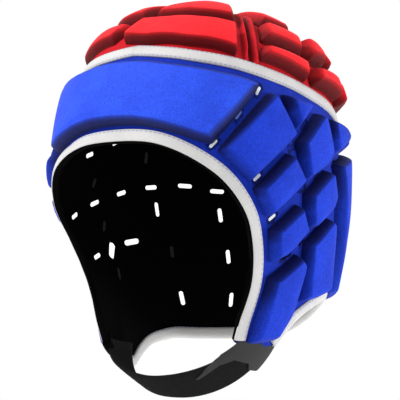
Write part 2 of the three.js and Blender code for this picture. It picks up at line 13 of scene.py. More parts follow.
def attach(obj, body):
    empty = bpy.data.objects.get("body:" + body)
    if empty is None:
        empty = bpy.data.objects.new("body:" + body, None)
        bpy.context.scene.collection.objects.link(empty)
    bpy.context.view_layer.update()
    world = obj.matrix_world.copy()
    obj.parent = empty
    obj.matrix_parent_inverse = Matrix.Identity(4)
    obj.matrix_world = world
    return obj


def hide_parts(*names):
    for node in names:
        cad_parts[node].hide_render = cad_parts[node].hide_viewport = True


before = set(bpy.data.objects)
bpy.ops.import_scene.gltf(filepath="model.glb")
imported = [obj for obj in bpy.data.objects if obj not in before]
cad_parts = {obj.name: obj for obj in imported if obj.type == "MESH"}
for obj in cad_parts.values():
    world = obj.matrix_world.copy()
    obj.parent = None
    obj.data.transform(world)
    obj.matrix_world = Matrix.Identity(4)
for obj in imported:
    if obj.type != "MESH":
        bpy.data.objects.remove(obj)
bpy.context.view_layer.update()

# Head form
HALF_WIDTH = 80
FRONT_REACH = 97.4
BACK_REACH = 80.9
CROWN_HEIGHT = 111.2
NECK_REACH = 100
PLAN_SQUARENESS = 2.58
DOME_SQUARENESS = 2.8
TAPER_SIDE = 0.27
TAPER_BACK = 0.13
TAPER_FRONT = 0.445
TAPER_FADE = 1.4
BACK_BLEND = 1.6

# Levels above the form
LINING_TOP = 1.6
SKIN_BOTTOM = 1.8
SKIN_TOP = 3.3
PAD_FOOT = 2.9

# Pads of the band and of the crown: height, bulge of the middle and width of the sloped wall
PAD_HEIGHT, CROWN_PAD_HEIGHT = 9.4, 9.2
BULGE, WALL_WIDTH = 0.9, 4.6

MM = 0.001

TAPE_LINE = [(0, 41.2), (15, 39.4), (30, 37.8), (45, 38), (60, 38.8), (88, 39.4), (108, 36.6), (125, 32.2),
             (150, 30.2), (180, 29.8)]
FACE_EDGE = [(0, 7.4), (8, 7.1), (16, 6.1), (24.5, 3.4), (33.4, -0.9), (40.5, -5.4), (47.2, -11.7),
             (53.3, -19.8), (57.2, -28.7), (59.8, -37), (61, -44), (60.4, -50), (59.2, -55), (58.7, -60.2)]
# The rim hangs a little lower on the wearer's right, as the cap does in use
NECK_LEFT = [(92.6, -60.6), (97, -56.6), (103.2, -51.4), (111.4, -46.4), (120, -42.6), (128.5, -40.4),
             (138, -41.2), (150, -45), (165, -49.4), (180, -51)]
NECK_RIGHT = [(93, -64.2), (97.5, -63.8), (102.5, -62.2), (111.5, -57.7), (120.7, -53.2), (132.2, -50),
              (148.7, -49.8), (166, -50.6), (180, -51)]
FLAP_LEFT = [(58.7, -60.8), (70, -61.6), (82, -61.4), (92.6, -60.6)]
FLAP_RIGHT = [(58.7, -60.8), (70, -62.8), (82, -64), (93, -64.2)]
# How far the right flap stands out at the face opening: (elevation, distance), and the angles that this
# fades over backwards and grows over from the middle of the brow
FLARE = [(-62, -1.5), (-54, -2), (-48, -3), (-41, -3), (-33, -1.6), (-24, 1.4), (-17, 4.6), (-12, 6),
         (-6, 5.8), (0, 5.2), (4, 4), (7, 2.6), (12, 1.4), (22, 0)]
FLARE_FADE = 36
FLARE_GROWTH = 12
# Foam of the right flap grows from its edge: height there, growth for each degree, and the elevation
# where it starts to come back to its full height, over a span and by a rise
THIN_EDGE, THIN_GROWTH = 3.6, 0.42
THIN_TOP, THIN_TOP_SPAN, THIN_TOP_RISE = -24, 16, 20
# Crease of the crown, as (sideways angle, forward lean) from straight up
CROWN_CREASE = [(0, -1.5), (8, 3), (17, 11.2), (26, 22.5), (32.2, 30.7), (37.8, 38.4)]

# Brow pad: lower edge from the middle to the end, then the upper edge back to the middle
BROW_LOW = [(0, 13.2), (8, 12.8), (16, 11.5), (25, 9.2), (33, 7), (36.9, 6.6)]
BROW_HIGH = [(0, 36.6), (10, 36), (20, 34.4), (34.5, 33.2), (46, 33.2), (55.2, 32.6)]

# Pads of the wearer's left: outline corners as (azimuth, elevation, corner radius)
BAND_PADS = {
    "temple": [(38.8, 4.6, 2), (60.2, 32.4, 4), (74.3, 17.6, 4), (52.4, -5.8, 3)],
    "temple_wedge": [(66.4, 33, 2), (90.4, 34, 2), (75.2, 20.2, 2)],
    "upper_ear": [(76.7, 16.6, 2), (93.3, 31.8, 3), (98, 31.2, 3), (104.6, 15.8, 3), (99.4, 9, 3),
                  (82.7, -1.4, 3)],
    "rear_upper": [(101.6, 31, 2.5), (128, 29, 2.5), (128.4, 23.8, 2.5), (106.6, 15.6, 2.5)],
    "front_ear": [(53.8, -8, 2), (71.6, 10.9, 3), (82.8, -1.2, 3), (62.2, -19.4, 3)],
    "rear_ear": [(84.9, -5.7, 2), (101.4, 8.6, 3), (105, 7.8, 3), (109.6, -3, 3), (107.4, -9.4, 3),
                 (95.4, -19.9, 3), (88.7, -21, 2)],
    "rear_side": [(109.8, 12.4, 3), (129.4, 20, 3), (148.6, 13.4, 3), (157.4, -39.6, 4), (130, -37.4, 4),
                  (117.4, -2.4, 8)],
    "low_ear": [(64.3, -23.4, 2), (80.6, -10.6, 3), (89.2, -22, 3), (76.2, -33.8, 3), (68.2, -36.4, 2)],
    "jaw_rear": [(90.8, -26.4, 2), (105.4, -12.4, 3), (110.4, -14, 3), (119.4, -39.4, 3), (98.6, -47.6, 3)],
    "jaw_front": [(69.8, -41.2, 2), (86.4, -31.6, 3), (93.2, -34.2, 3), (95, -50, 3), (87.4, -59.8, 3),
                  (67, -61, 2)],
    "back_upper": [(131.6, 22.6, 3), (131.2, 29, 3), (178.3, 25, 3), (178.4, 12.4, 3)],
}
CROWN_PADS = {
    "side_low": [(54.6, 42, 2), (58.6, 48.8, 2), (92, 50, 2), (88, 42.4, 2)],
    "side_high": [(58.6, 50.8, 2), (63.5, 61.2, 2), (102.6, 60.6, 2), (91, 52.4, 2)],
    "top": [(68, 63.4, 3), (110, 86.6, 3), (127, 77, 3), (106.6, 63.4, 3)],
    "rear_low": [(92.8, 42, 3), (96.4, 48.8, 3), (119.4, 47.2, 3), (121, 38.2, 3)],
    "rear_high": [(95.6, 51, 3), (106, 60.8, 3), (115.6, 59.6, 3), (119.4, 50, 3)],
    "back_low_side": [(124.2, 37.2, 3), (123.4, 46.2, 3), (150.6, 44.8, 3), (150.4, 35, 3)],
    "back_high_side": [(123, 49.2, 3), (120, 60, 3), (146.4, 60.2, 3), (148.6, 47.6, 3)],
    "back_top": [(113, 64.4, 3), (131, 76.4, 3), (173, 80, 3), (176.6, 63.8, 3)],
}
# Pads that stand taller over the back, and lower on the right
CROWN_TALL = ("rear_low", "rear_high", "back_low_side", "back_high_side", "back_top")
CROWN_LOW = ("side_low", "side_high", "top")
CROWN_TALL_HEIGHT = 11.6
CROWN_LOW_HEIGHT = 7
FRONT_RIGHT_HEIGHT = 7.4
# Front crown pads: the gap between them lies a little to the right of the middle
FRONT_PADS = {
    "crown_front_low_left": [(-9.5, 44.6, 2), (6, 43, 40), (25, 41.4, 40), (44.6, 40.6, 2), (45, 52.6, 2),
                             (28, 52.6, 40), (12, 53, 40), (-3.4, 53.4, 2)],
    "crown_front_low_right": [(-16, 45, 2), (-30, 43, 40), (-44.6, 41.2, 2), (-45, 52.6, 2), (-28, 52.8, 40),
                              (-11, 53.4, 2)],
    "crown_front_high_left": [(-2, 56.6, 2), (13, 55.6, 40), (29, 55.2, 40), (45.4, 55.4, 2), (51, 72.6, 3),
                              (24, 84, 3)],
    "crown_front_high_right": [(-9, 56.6, 2), (-28, 55.6, 40), (-45.4, 55.4, 2), (-51, 72.6, 3),
                               (-30, 84, 3)],
}
MIDDLE_PADS = {
    "pad_back_middle": [(159.6, -19, 3), (152.4, 7.2, 3), (207.6, 7.2, 3), (200.4, -19, 3)],
    "pad_back_low": [(163.4, -42, 3), (160.4, -22.4, 3), (199.6, -22.4, 3), (196.6, -42, 3)],
    "crown_back_low_middle": [(153.8, 35, 3), (153.4, 44.6, 3), (206.6, 44.6, 3), (206.2, 35, 3)],
    "crown_back_high_middle": [(152.2, 47.6, 3), (150, 60.6, 3), (210, 60.6, 3), (207.8, 47.6, 3)],
}

# Vent slots as (azimuth, elevation, angle above the level line), some with shares of the usual length and
# width; the faint ones are on the right, under pads
SLOTS = {
    "left": [(54.8, 30.8, 60), (46.2, 19.6, 58), (37.4, 7.1, 52), (56, -3.3, 46), (66.2, -18.6, 42),
             (75.2, 13.6, 20), (84.2, 25.6, 42), (83.8, -3.6, 26), (97, 3.8, 28), (115, 14, 12),
             (134, 20.6, -4), (151, 15.2, -10), (118.4, -1.6, 108), (151.2, -2, 98), (156.8, -21.6, 94),
             (160.2, -39.6, 92), (131.8, -36.6, 104), (90.2, -25, 62), (103.6, -17.4, 34), (80, -33, 30)],
    "right": [(68, 14.7, 24), (88.5, 25.3, 32), (63, -14.2, 30), (77.8, -6.3, 26), (96.6, 1.9, 22),
              (116.1, 7.9, 12), (133.7, 10.7, 2), (149.2, 9.3, -2), (120.4, -2.2, 104), (151.5, -2.2, 102),
              (157.1, -21.9, 102), (135.7, -38.4, 105), (160.8, -39.3, 92), (74.5, -31.6, 26),
              (105.9, -20.5, 16, 1.5, 1.25), (89.4, -27.6, 75, 1.15, 2), (54, 30.6, 60), (47, 19.5, 58)],
    "faint": [(111.3, 21.2, 92), (74.4, 3.3, 70), (85.1, -16.8, 84), (129.5, -20.8, 100), (92.9, -37.2, 96)],
}
SLOT_LENGTH = 10.4
SLOT_WIDTH = 3.1
ROUND_STEPS = 7


# The head form

def unit(v):
    v = np.asarray(v, float)
    return v / np.maximum(np.linalg.norm(v, axis=-1, keepdims=True), 1e-12)


def direction(az, el):
    """Unit vectors from the form's centre."""
    a, e = np.radians(az), np.radians(el)
    return np.stack([np.sin(a) * np.cos(e), -np.cos(a) * np.cos(e), np.sin(e) + 0 * a], -1)


# Rounds of the solver for the taper, and the farthest reach in crown heights
TAPER_ROUNDS, FAR = 25, 3


def reach(d):
    """Distances from the centre to the form."""
    depth_y = np.where(d[..., 1] < 0, FRONT_REACH, BACK_REACH)
    plan = np.abs(d[..., 0] / HALF_WIDTH) ** PLAN_SQUARENESS + np.abs(d[..., 1] / depth_y) ** PLAN_SQUARENESS
    n = np.maximum(plan ** (1 / PLAN_SQUARENESS), 1e-3)
    height = np.abs(d[..., 2] / CROWN_HEIGHT)
    dome = (n ** DOME_SQUARENESS + height ** DOME_SQUARENESS) ** (-1 / DOME_SQUARENESS)
    backward = d[..., 1] / np.maximum(np.hypot(d[..., 0], d[..., 1]), 1e-9)
    full = (TAPER_SIDE + (TAPER_BACK - TAPER_SIDE) * np.clip(BACK_BLEND * backward, 0, 1)
            + (TAPER_FRONT - TAPER_SIDE) * np.maximum(-backward, 0) ** 2)
    r = np.minimum(1 / n, FAR * CROWN_HEIGHT)
    for _ in range(TAPER_ROUNDS):
        t = np.maximum(-r * d[..., 2], 0) / NECK_REACH
        r = 0.5 * (r + (1 - full * t * t / np.sqrt(1 + (t / TAPER_FADE) ** 4)) / n)
    return np.where(d[..., 2] >= 0, dome, r)


# An axis that no direction in use lies along
SIDE_AXIS = (0.3, 0.2, 1.0)


def form_normal(d):
    """Outward normals of the form, from places a small step to each side."""
    u = unit(np.cross(SIDE_AXIS, d))
    v = np.cross(d, u)
    step = 1e-3

    def at(w):
        q = unit(d + w)
        return q * reach(q)[..., None]

    n = unit(np.cross(at(step * u) - at(-step * u), at(step * v) - at(-step * v)))
    return n * np.sign((n * d).sum(-1, keepdims=True))


def from_right_edge(d):
    """Azimuth towards the right, elevation, and degrees back from the right edge of the face opening."""
    az = np.degrees(np.arctan2(-d[..., 0], -d[..., 1]))
    el = np.degrees(np.arcsin(np.clip(d[..., 2], -1, 1)))
    edge = np.array(FACE_EDGE)[::-1].T
    return az, el, az - np.interp(el, edge[1], edge[0])


def flare(d):
    """How far the layers stand out where the right flap meets the face opening."""
    az, el, back_by = from_right_edge(d)
    out = np.interp(el, *np.array(FLARE, float).T)
    fade = np.exp(-np.maximum(back_by / FLARE_FADE, 0) ** 2)
    return np.where(az > 0, out * fade * np.clip(az / FLARE_GROWTH, 0, 1), 0)


def thinned(d, level):
    """Levels cut back where the foam of the right flap runs out towards its edge."""
    az, el, back_by = from_right_edge(d)
    high = (THIN_EDGE + THIN_GROWTH * np.maximum(back_by, 0)
            + THIN_TOP_RISE * np.clip((el - THIN_TOP) / THIN_TOP_SPAN, 0, 1))
    return np.where(az > 0, np.minimum(level, high), level)


def on_form(d, level):
    """Places at a level above the form."""
    level = np.broadcast_to(np.asarray(level, float), d.shape[:-1]) + flare(d)
    return d * reach(d)[..., None] + form_normal(d) * level[..., None]


def smooth_run(table, count):
    """Directions evenly spaced along a smooth curve through (azimuth, elevation) pairs."""
    az, el = np.array(table, float).T
    return even(through(direction(az, el)), count)


CURVE_STEPS = 17


def through(knots):
    """Points close together on a centripetal Catmull-Rom curve through the knots."""
    p = np.vstack([2 * knots[0] - knots[1], knots, 2 * knots[-1] - knots[-2]])
    out = []
    for a, b, c, d in zip(p, p[1:], p[2:], p[3:]):
        t1 = np.linalg.norm(b - a) ** 0.5
        t2 = t1 + np.linalg.norm(c - b) ** 0.5
        t3 = t2 + np.linalg.norm(d - c) ** 0.5
        t = np.linspace(t1, t2, CURVE_STEPS)[:-1, None]

        def mix(first, second, start, end):
            return (end - t) / (end - start) * first + (t - start) / (end - start) * second

        bc = mix(b, c, t1, t2)
        abc = mix(mix(a, b, 0, t1), bc, 0, t2)
        bcd = mix(bc, mix(c, d, t2, t3), t1, t3)
        out.append(mix(abc, bcd, t1, t2))
    return np.vstack(out + [knots[-1:]])


def run_lengths(p):
    """Length from the first place to each place."""
    return np.concatenate([[0], np.cumsum(np.linalg.norm(np.diff(p, axis=0), axis=1))])


def even(d, count):
    """The same run with even steps along the form."""
    d = unit(d)
    s = run_lengths(on_form(d, 0))
    at = np.linspace(0, s[-1], count)
    return unit(np.stack([np.interp(at, s, d[:, k]) for k in range(3)], -1))


def mirror(d):
    return d * np.array([-1, 1, 1])


def across_run(run, closed=False):
    """Directions along the form, square to a run, to the left of the way it goes."""
    p = on_form(run, 0)
    if closed:
        along = np.roll(p, -1, 0) - np.roll(p, 1, 0)
    else:
        along = np.gradient(p, axis=0)
    return unit(np.cross(form_normal(run), along))


def beside(run, across, distance):
    return unit(on_form(run, 0) + across * distance)


# Meshes

def mesh_object(name, points, faces, attributes=None):
    """Object with a closed mesh, from points in millimetres in the form's frame."""
    mesh = bpy.data.meshes.new(name)
    place = (np.asarray(points, float) - [0, 0, CROWN_HEIGHT]) * MM
    mesh.from_pydata(place.tolist(), [], [list(map(int, f)) for f in faces])
    for key, values in (attributes or {}).items():
        values = np.asarray(values, np.float32)
        kind, field = ("FLOAT_VECTOR", "vector") if values.ndim == 2 else ("FLOAT", "value")
        mesh.attributes.new(key, kind, "POINT").data.foreach_set(field, values.ravel())
    mesh.update()
    mesh.validate()
    obj = bpy.data.objects.new(name, mesh)
    bpy.context.scene.collection.objects.link(obj)
    mesh.shade_smooth()
    outward(mesh)
    return obj


def outward(mesh):
    """Turns the faces of a closed mesh outwards."""
    mesh.calc_loop_triangles()
    co = np.array([v.co for v in mesh.vertices])
    tri = np.array([t.vertices for t in mesh.loop_triangles])
    volume = np.einsum("ij,ij->i", co[tri[:, 0]], np.cross(co[tri[:, 1]], co[tri[:, 2]])).sum()
    if volume < 0:
        mesh.flip_normals()


def wall_faces(rows, columns, wrap, first=0, turned=False):
    """Quads over a grid of points."""
    faces = []
    for i in range(rows - 1):
        for j in range(columns if wrap else columns - 1):
            a = first + i * columns + j
            b = first + i * columns + (j + 1) % columns
            quad = (a, b, b + columns, a + columns)
            faces.append(quad[::-1] if turned else quad)
    return faces


# Millimetres for each radian, round the head and up it
CLOTH_ROUND, CLOTH_UP = 80, 100


def cloth_places(dirs):
    """Places on the cloth in millimetres, round and up."""
    az = np.unwrap(np.arctan2(dirs[..., 0], -dirs[..., 1]), axis=-1)
    el = np.arcsin(np.clip(dirs[..., 2], -1, 1))
    return np.stack([az * CLOTH_ROUND, el * CLOTH_UP, 0 * el], -1).reshape(-1, 3)


def thick_sheet(name, dirs, low, high, wrap=False, rise=None):
    """Closed sheet over a grid of directions [row, column], between two levels."""
    rows, columns = dirs.shape[:2]
    outer = on_form(dirs, high).reshape(-1, 3)
    inner = on_form(dirs, low).reshape(-1, 3)
    n = rows * columns
    faces = wall_faces(rows, columns, wrap) + wall_faces(rows, columns, wrap, n, True)
    last = columns if wrap else columns - 1
    top = n - columns
    for j in range(last):
        k = (j + 1) % columns
        faces += [(j, n + j, n + k, k), (top + k, n + top + k, n + top + j, top + j)]
    if not wrap:
        for a in range(0, top, columns):
            b = a + columns
            faces += [(a, b, n + b, n + a), (b + last, a + last, n + a + last, n + b + last)]
    weave = cloth_places(dirs)
    # The rise attribute carries painted shade: 1 shows the cloth's full colour, lower values paint it darker
    shade = np.ones(n) if rise is None else np.asarray(rise).reshape(-1)
    return mesh_object(name, np.vstack([outer, inner]), faces,
                       {"weave": np.vstack([weave, weave]), "rise": np.concatenate([shade, shade])})


def swept(name, stations, closed, across=None):
    """Sheet whose closed section is carried along stations [station, section point]."""
    count, section = stations.shape[:2]
    along = run_lengths(stations.mean(1))
    wide = np.zeros(section) if across is None else np.asarray(across, float)
    weave = np.stack([np.repeat(along, section), np.tile(wide, count), np.zeros(count * section)], 1)
    faces = wall_faces(count, section, True)
    end = (count - 1) * section
    if closed:
        faces += [(end + j, end + (j + 1) % section, (j + 1) % section, j) for j in range(section)]
    else:
        faces += [tuple(range(section))[::-1], tuple(range(end, end + section))]
    return mesh_object(name, stations.reshape(-1, 3), faces, {"weave": weave})


# Angle from which an edge is sharp
SHARP = math.radians(35)


def prisms(name, pairs):
    """Closed blocks between pairs of rings, low and high."""
    points, faces = [], []
    for low, high in pairs:
        first, count = len(points), len(low)
        points += low + high
        faces += wall_faces(2, count, True, first)
        faces += [tuple(range(first, first + count))[::-1], tuple(range(first + count, first + 2 * count))]
    return mesh_object(name, points, faces)


def sharpen(obj):
    obj.data.set_sharp_from_angle(angle=SHARP)


# Pads of foam

class Plane:
    """Flat map of a patch of the form, in millimetres, seen from the form's centre."""

    def __init__(self, dirs):
        self.middle = unit(unit(dirs).mean(0))
        self.right = unit(np.cross([0, 0, 1.0], self.middle))
        self.up = np.cross(self.middle, self.right)
        self.scale = float(reach(self.middle))

    def flat(self, d):
        depth = d @ self.middle
        return np.stack([d @ self.right / depth, d @ self.up / depth], -1) * self.scale

    def dirs(self, xy):
        xy = xy / self.scale
        return unit(self.middle + xy[..., :1] * self.right + xy[..., 1:] * self.up)


class Belt:
    """Flat map of a long patch round the brow: azimuth and elevation as lengths."""

    def __init__(self, scale):
        self.scale = scale

    def flat(self, d):
        az = np.arctan2(d[..., 0], -d[..., 1])
        el = np.arcsin(d[..., 2])
        return np.stack([az, el], -1) * self.scale

    def dirs(self, xy):
        a, e = xy[..., 0] / self.scale, xy[..., 1] / self.scale
        return np.stack([np.sin(a) * np.cos(e), -np.cos(a) * np.cos(e), np.sin(e)], -1)


def inset(corners, by):
    """Corners of a polygon, anticlockwise, with each side moved inwards by its own distance."""
    ahead = np.roll(corners, -1, 0) - corners
    side = ahead / np.linalg.norm(ahead, axis=1)[:, None]
    inward = np.stack([-side[:, 1], side[:, 0]], 1)
    out = []
    for i in range(len(corners)):
        n1, n0 = inward[i], inward[i - 1]
        if n0 @ n1 > 0.97:
            out.append(corners[i] + (n0 + n1) * by[i] / (1 + n0 @ n1))
        else:
            out.append(corners[i] + np.linalg.solve([n0, n1], [by[i - 1], by[i]]))
    return np.array(out)


def rounded(corners, radii, steps, turns):
    """Points round a polygon whose corners are eased, with fixed counts on each side and corner."""
    ahead = np.roll(corners, -1, 0) - corners
    length = np.linalg.norm(ahead, axis=1)
    side = ahead / length[:, None]
    cut = []
    for i in range(len(corners)):
        cosine = np.clip(-(side[i] @ side[i - 1]), -0.999, 0.999)
        half = math.acos(cosine) / 2
        cut.append(min(radii[i] / math.tan(half), 0.46 * length[i], 0.46 * length[i - 1]))
    out = []
    for i in range(len(corners)):
        j = (i + 1) % len(corners)
        p = corners[i]
        start, end = p - side[i - 1] * cut[i], p + side[i] * cut[i]
        t = np.linspace(0, 1, turns + 1)[:, None]
        out.append((1 - t) ** 2 * start + 2 * t * (1 - t) * p + t * t * end)
        stop = corners[j] - side[i] * cut[j]
        t = np.linspace(0, 1, steps[i] + 1)[1:-1, None]
        out.append(end + (stop - end) * t)
    return np.vstack(out)


# Section of a pad's wall: share of the wall's width inwards, share of the pad's height
WALL = [(0, 0), (0.04, 0.12), (0.14, 0.32), (0.3, 0.53), (0.46, 0.7), (0.62, 0.84), (0.74, 0.925),
        (0.84, 0.97), (0.92, 0.99), (1, 1)]
# Rings over a pad's top and under its foot, as shares of the way out; long pads get even steps instead
TOP_RINGS = [0.93, 0.84, 0.72, 0.58, 0.43, 0.28, 0.14]
FOOT_RINGS = (0.85, 0.6, 0.3)
LONG_PAD, LONG_PAD_STEP = 45, 3
# Longest step along a side, fewest steps there, and steps round a corner
SIDE_STEP, FEWEST_STEPS, CORNER_STEPS = 1.7, 4, 7
# Widest wall as a share of the pad's half width, and narrowest wall
WALL_SHARE, WALL_LEAST = 0.72, 2
# What a corner's radius loses for each millimetre in, and the least radius
CORNER_LOSS, CORNER_LEAST = 0.75, 1.2
# Slight unevenness of the foam
WAVE_HEIGHT, WAVE_ALONG, WAVE_ACROSS, WAVE_BEND, WAVE_BEND_LENGTH = 0.12, 5.3, 6.1, 0.7, 7.1

# Painted shade on the walls by the way that they face, as if lit from one side: (forward, up) way of the
# darkest walls, lowest share of the shade, start and width of the change
BAND_WALL_SHADE = ((0.5, 0.87), 0.2, 0.1, 0.7)
CROWN_WALL_SHADE = ((-0.25, -0.97), 0.42, -0.3, 0.7)
EVEN_WALL_SHADE = ((0, 1), 1, 0, 1)


def pad(name, plane, corners, radii, height, wall=WALL_WIDTH, dark=EVEN_WALL_SHADE, forward=-1):
    """Foam pad under its cover: a closed form with sloped walls, eased shoulders and a crowned top."""
    after = np.roll(corners, -1, 0)
    area = 0.5 * (corners[:, 0] * after[:, 1] - corners[:, 1] * after[:, 0]).sum()
    walls = np.ones(len(corners)) * wall
    if area < 0:
        corners, radii = corners[::-1], list(radii)[::-1]
        walls = np.roll(walls[::-1], -1)
    ahead = np.roll(corners, -1, 0) - corners
    length = np.linalg.norm(ahead, axis=1)
    steps = [max(FEWEST_STEPS, int(n / SIDE_STEP)) for n in length]
    ahead = ahead / length[:, None]
    inward = np.stack([-ahead[:, 1], ahead[:, 0]], 1)
    middle = corners.mean(0)
    depth = min(((middle - p) @ n) for p, n in zip(corners, inward))
    walls = np.minimum(walls, max(WALL_SHARE * depth, WALL_LEAST))
    rings, levels, shades = [], [], []
    for share, rise in WALL:
        by = share * walls
        eased = [max(r - CORNER_LOSS * b, CORNER_LEAST) for r, b in zip(radii, by)]
        rings.append(rounded(inset(corners, by), eased, steps, CORNER_STEPS))
        levels.append(PAD_FOOT + rise * height)
        shades.append(share)
    # Painted shade: walls are darker from foot to shoulder, and more so where they face the darkest way, as
    # if lit from one side
    faces_way = unit(rings[0] - rings[-1])
    way, least, start, width = dark
    shade_strength = np.clip((faces_way @ np.array([way[0] * forward, way[1]]) - start) / width, 0, 1)
    shade_strength = least + (1 - least) * shade_strength
    last = rings[-1]
    span = np.linalg.norm(last - middle, axis=1).max()
    inner = TOP_RINGS if span < LONG_PAD else np.linspace(1, 0, int(span / LONG_PAD_STEP))[1:-1]
    for f in inner:
        rings.append(middle + (last - middle) * f)
        levels.append(PAD_FOOT + height + BULGE * (1 - f * f))
        shades.append(1)
    # Painted shade written into the rise attribute: 1 shows the cloth's full colour, lower values paint it
    # darker
    shades = [1 - (1 - v) * shade_strength for v in shades]
    count = len(last)
    foot = [middle + (rings[0] - middle) * f for f in FOOT_RINGS]
    xy = np.vstack(rings + [middle[None]] + foot + [middle[None]])
    level = np.concatenate([np.full(count, v) for v in levels] + [[PAD_FOOT + height + BULGE]]
                           + [np.full(count, PAD_FOOT)] * len(foot) + [[PAD_FOOT]])
    shade = np.concatenate(shades + [[1.0]] + [np.zeros(count)] * len(foot) + [[0.0]])
    wave = (WAVE_HEIGHT * np.sin(xy[:, 0] / WAVE_ALONG + WAVE_BEND * np.sin(xy[:, 1] / WAVE_BEND_LENGTH))
            * np.sin(xy[:, 1] / WAVE_ACROSS + len(name)))
    dirs = plane.dirs(xy)
    points = on_form(dirs, thinned(dirs, level + wave * shade))
    ring_count = len(rings)
    faces = wall_faces(ring_count, count, True)
    top = ring_count * count
    under = top + 1
    lowest = under + len(foot) * count
    for j in range(count):
        k = (j + 1) % count
        faces += [(top - count + j, top - count + k, top), (j, under + j, under + k, k),
                  (lowest - count + k, lowest - count + j, lowest)]
    faces += wall_faces(len(foot), count, True, under, True)
    weave = np.column_stack([xy, level])
    return mesh_object(name, points, faces, {"weave": weave, "rise": shade})


# Materials

class Socket:
    """A node's output that takes part in Python expressions."""

    def __init__(self, tree, socket):
        self.tree = tree
        self.socket = socket

    def maths(self, operation, *values):
        return self.tree.node("ShaderNodeMath", {"operation": operation}, self, *values)

    def zigzag(self):
        """Up and down between 0 and 1, once for each unit."""
        return self.maths("PINGPONG", 0.5) * 2

    def __add__(self, other):
        return self.maths("ADD", other)

    def __sub__(self, other):
        return self.maths("SUBTRACT", other)

    def __mul__(self, other):
        return self.maths("MULTIPLY", other)

    def __pow__(self, other):
        return self.maths("POWER", other)

    __radd__, __rmul__ = __add__, __mul__


class Finish:
    """One material and its nodes."""

    def __init__(self, name):
        self.material = bpy.data.materials.new(name)
        self.material.use_nodes = True
        self.nodes = self.material.node_tree.nodes
        self.links = self.material.node_tree.links
        self.shader = self.nodes["Principled BSDF"]

    def put(self, target, value):
        if isinstance(value, Socket):
            self.links.new(value.socket, target)
        else:
            target.default_value = value

    def node(self, kind, settings=None, *values, out=0, **named):
        """Adds a node; settings go first, then the values or links of its sockets."""
        made = self.nodes.new(kind)
        for key, value in (settings or {}).items():
            if key == "stops":
                ramp = made.color_ramp
                while len(ramp.elements) < len(value):
                    ramp.elements.new(0.5)
                for element, (position, grey) in zip(ramp.elements, value):
                    element.position = position
                    element.color = (grey, grey, grey, 1)
            else:
                setattr(made, key, value)
        for target, value in zip(made.inputs, values):
            self.put(target, value)
        for key, value in named.items():
            self.put(made.inputs[key.replace("_", " ")], value)
        return Socket(self, made.outputs[out])

    def set(self, **values):
        for key, value in values.items():
            self.put(self.shader.inputs[key.replace("_", " ")], value)

    def attribute(self, name, out="Fac"):
        return self.node("ShaderNodeAttribute", {"attribute_name": name}, out=out)

    def blend(self, share, first, second):
        """Colour mix."""
        made = self.nodes.new("ShaderNodeMix")
        made.data_type = "RGBA"
        self.put(made.inputs["Factor"], share)
        self.put(made.inputs[6], first)
        self.put(made.inputs[7], second)
        return Socket(self, made.outputs[2])

    def noise(self, scale, detail, **values):
        place = self.node("ShaderNodeTexCoord", None, out="Object")
        return self.node("ShaderNodeTexNoise", None, Vector=place, Scale=scale, Detail=detail, **values)

    def bump(self, height, distance, strength=1.0):
        return self.node("ShaderNodeBump", None, Height=height, Distance=distance, Strength=strength)


# One stitch of the knit in millimetres, and the height of its bumps in metres
KNIT_WIDE, KNIT_HIGH, KNIT_DEPTH = 1.1, 0.9, 0.0003
# Shares of its parts in its colour and in its height
PATCH_TONE, STITCH_TONE, SPECK_TONE = 1.9, 0.12, 1.1
STITCH_RISE, SPECK_RISE, FOLD_RISE = 0.4, 1.2, 3.2
# Ribs of the tape in millimetres, and the height of its bumps in metres
RIB_WIDE, TAPE_DEPTH = 0.9, 0.0002
# Stitches of a seam: half width and pitch in millimetres, share of the pitch, and how they colour and sink
SEAM_HALF, SEAM_PITCH, SEAM_DASH, SEAM_TONE, SEAM_SINK = 0.35, 3.2, 0.62, 0.55, 1.2


def knit(name, colour, shade_colour, light, shade_stops, speck, shine=0.05):
    """Fine stretch knit: small vees in rows, soft patches, and painted shade where the cloth goes down a
    wall.
    """
    m = Finish(name)
    u = m.node("ShaderNodeSeparateXYZ", None, m.attribute("weave", "Vector"))
    v = Socket(m, u.socket.node.outputs[1])
    slant = (v * (1 / KNIT_HIGH)).maths("PINGPONG", 0.5)
    vee = (u * (1 / KNIT_WIDE) + slant).zigzag()
    grain = m.noise(1500, 2.0)
    patches = m.noise(38, 4.0, Roughness=0.6)
    folds = m.noise(130, 2.0)
    specks = m.noise(760, 3.0, Roughness=0.8)
    tone = m.blend(patches ** 2 * PATCH_TONE, colour, light)
    tone = m.blend(vee * STITCH_TONE + grain * STITCH_TONE + specks ** 2 * SPECK_TONE, tone, speck)
    # Painted shade: the rise attribute sets how far the shade colour covers the knit, darkest down the pads'
    # walls and in the crease
    wall = m.node("ShaderNodeValToRGB", {"stops": shade_stops}, m.attribute("rise"))
    height = vee * STITCH_RISE + grain * STITCH_RISE + specks * SPECK_RISE + folds * FOLD_RISE
    m.set(Base_Color=m.blend(wall, shade_colour, tone), Roughness=0.6 + 0.15 * grain,
          Normal=m.bump(height, KNIT_DEPTH, 0.7), Sheen_Weight=0.02, Sheen_Roughness=0.5,
          Specular_IOR_Level=shine)
    return m.material


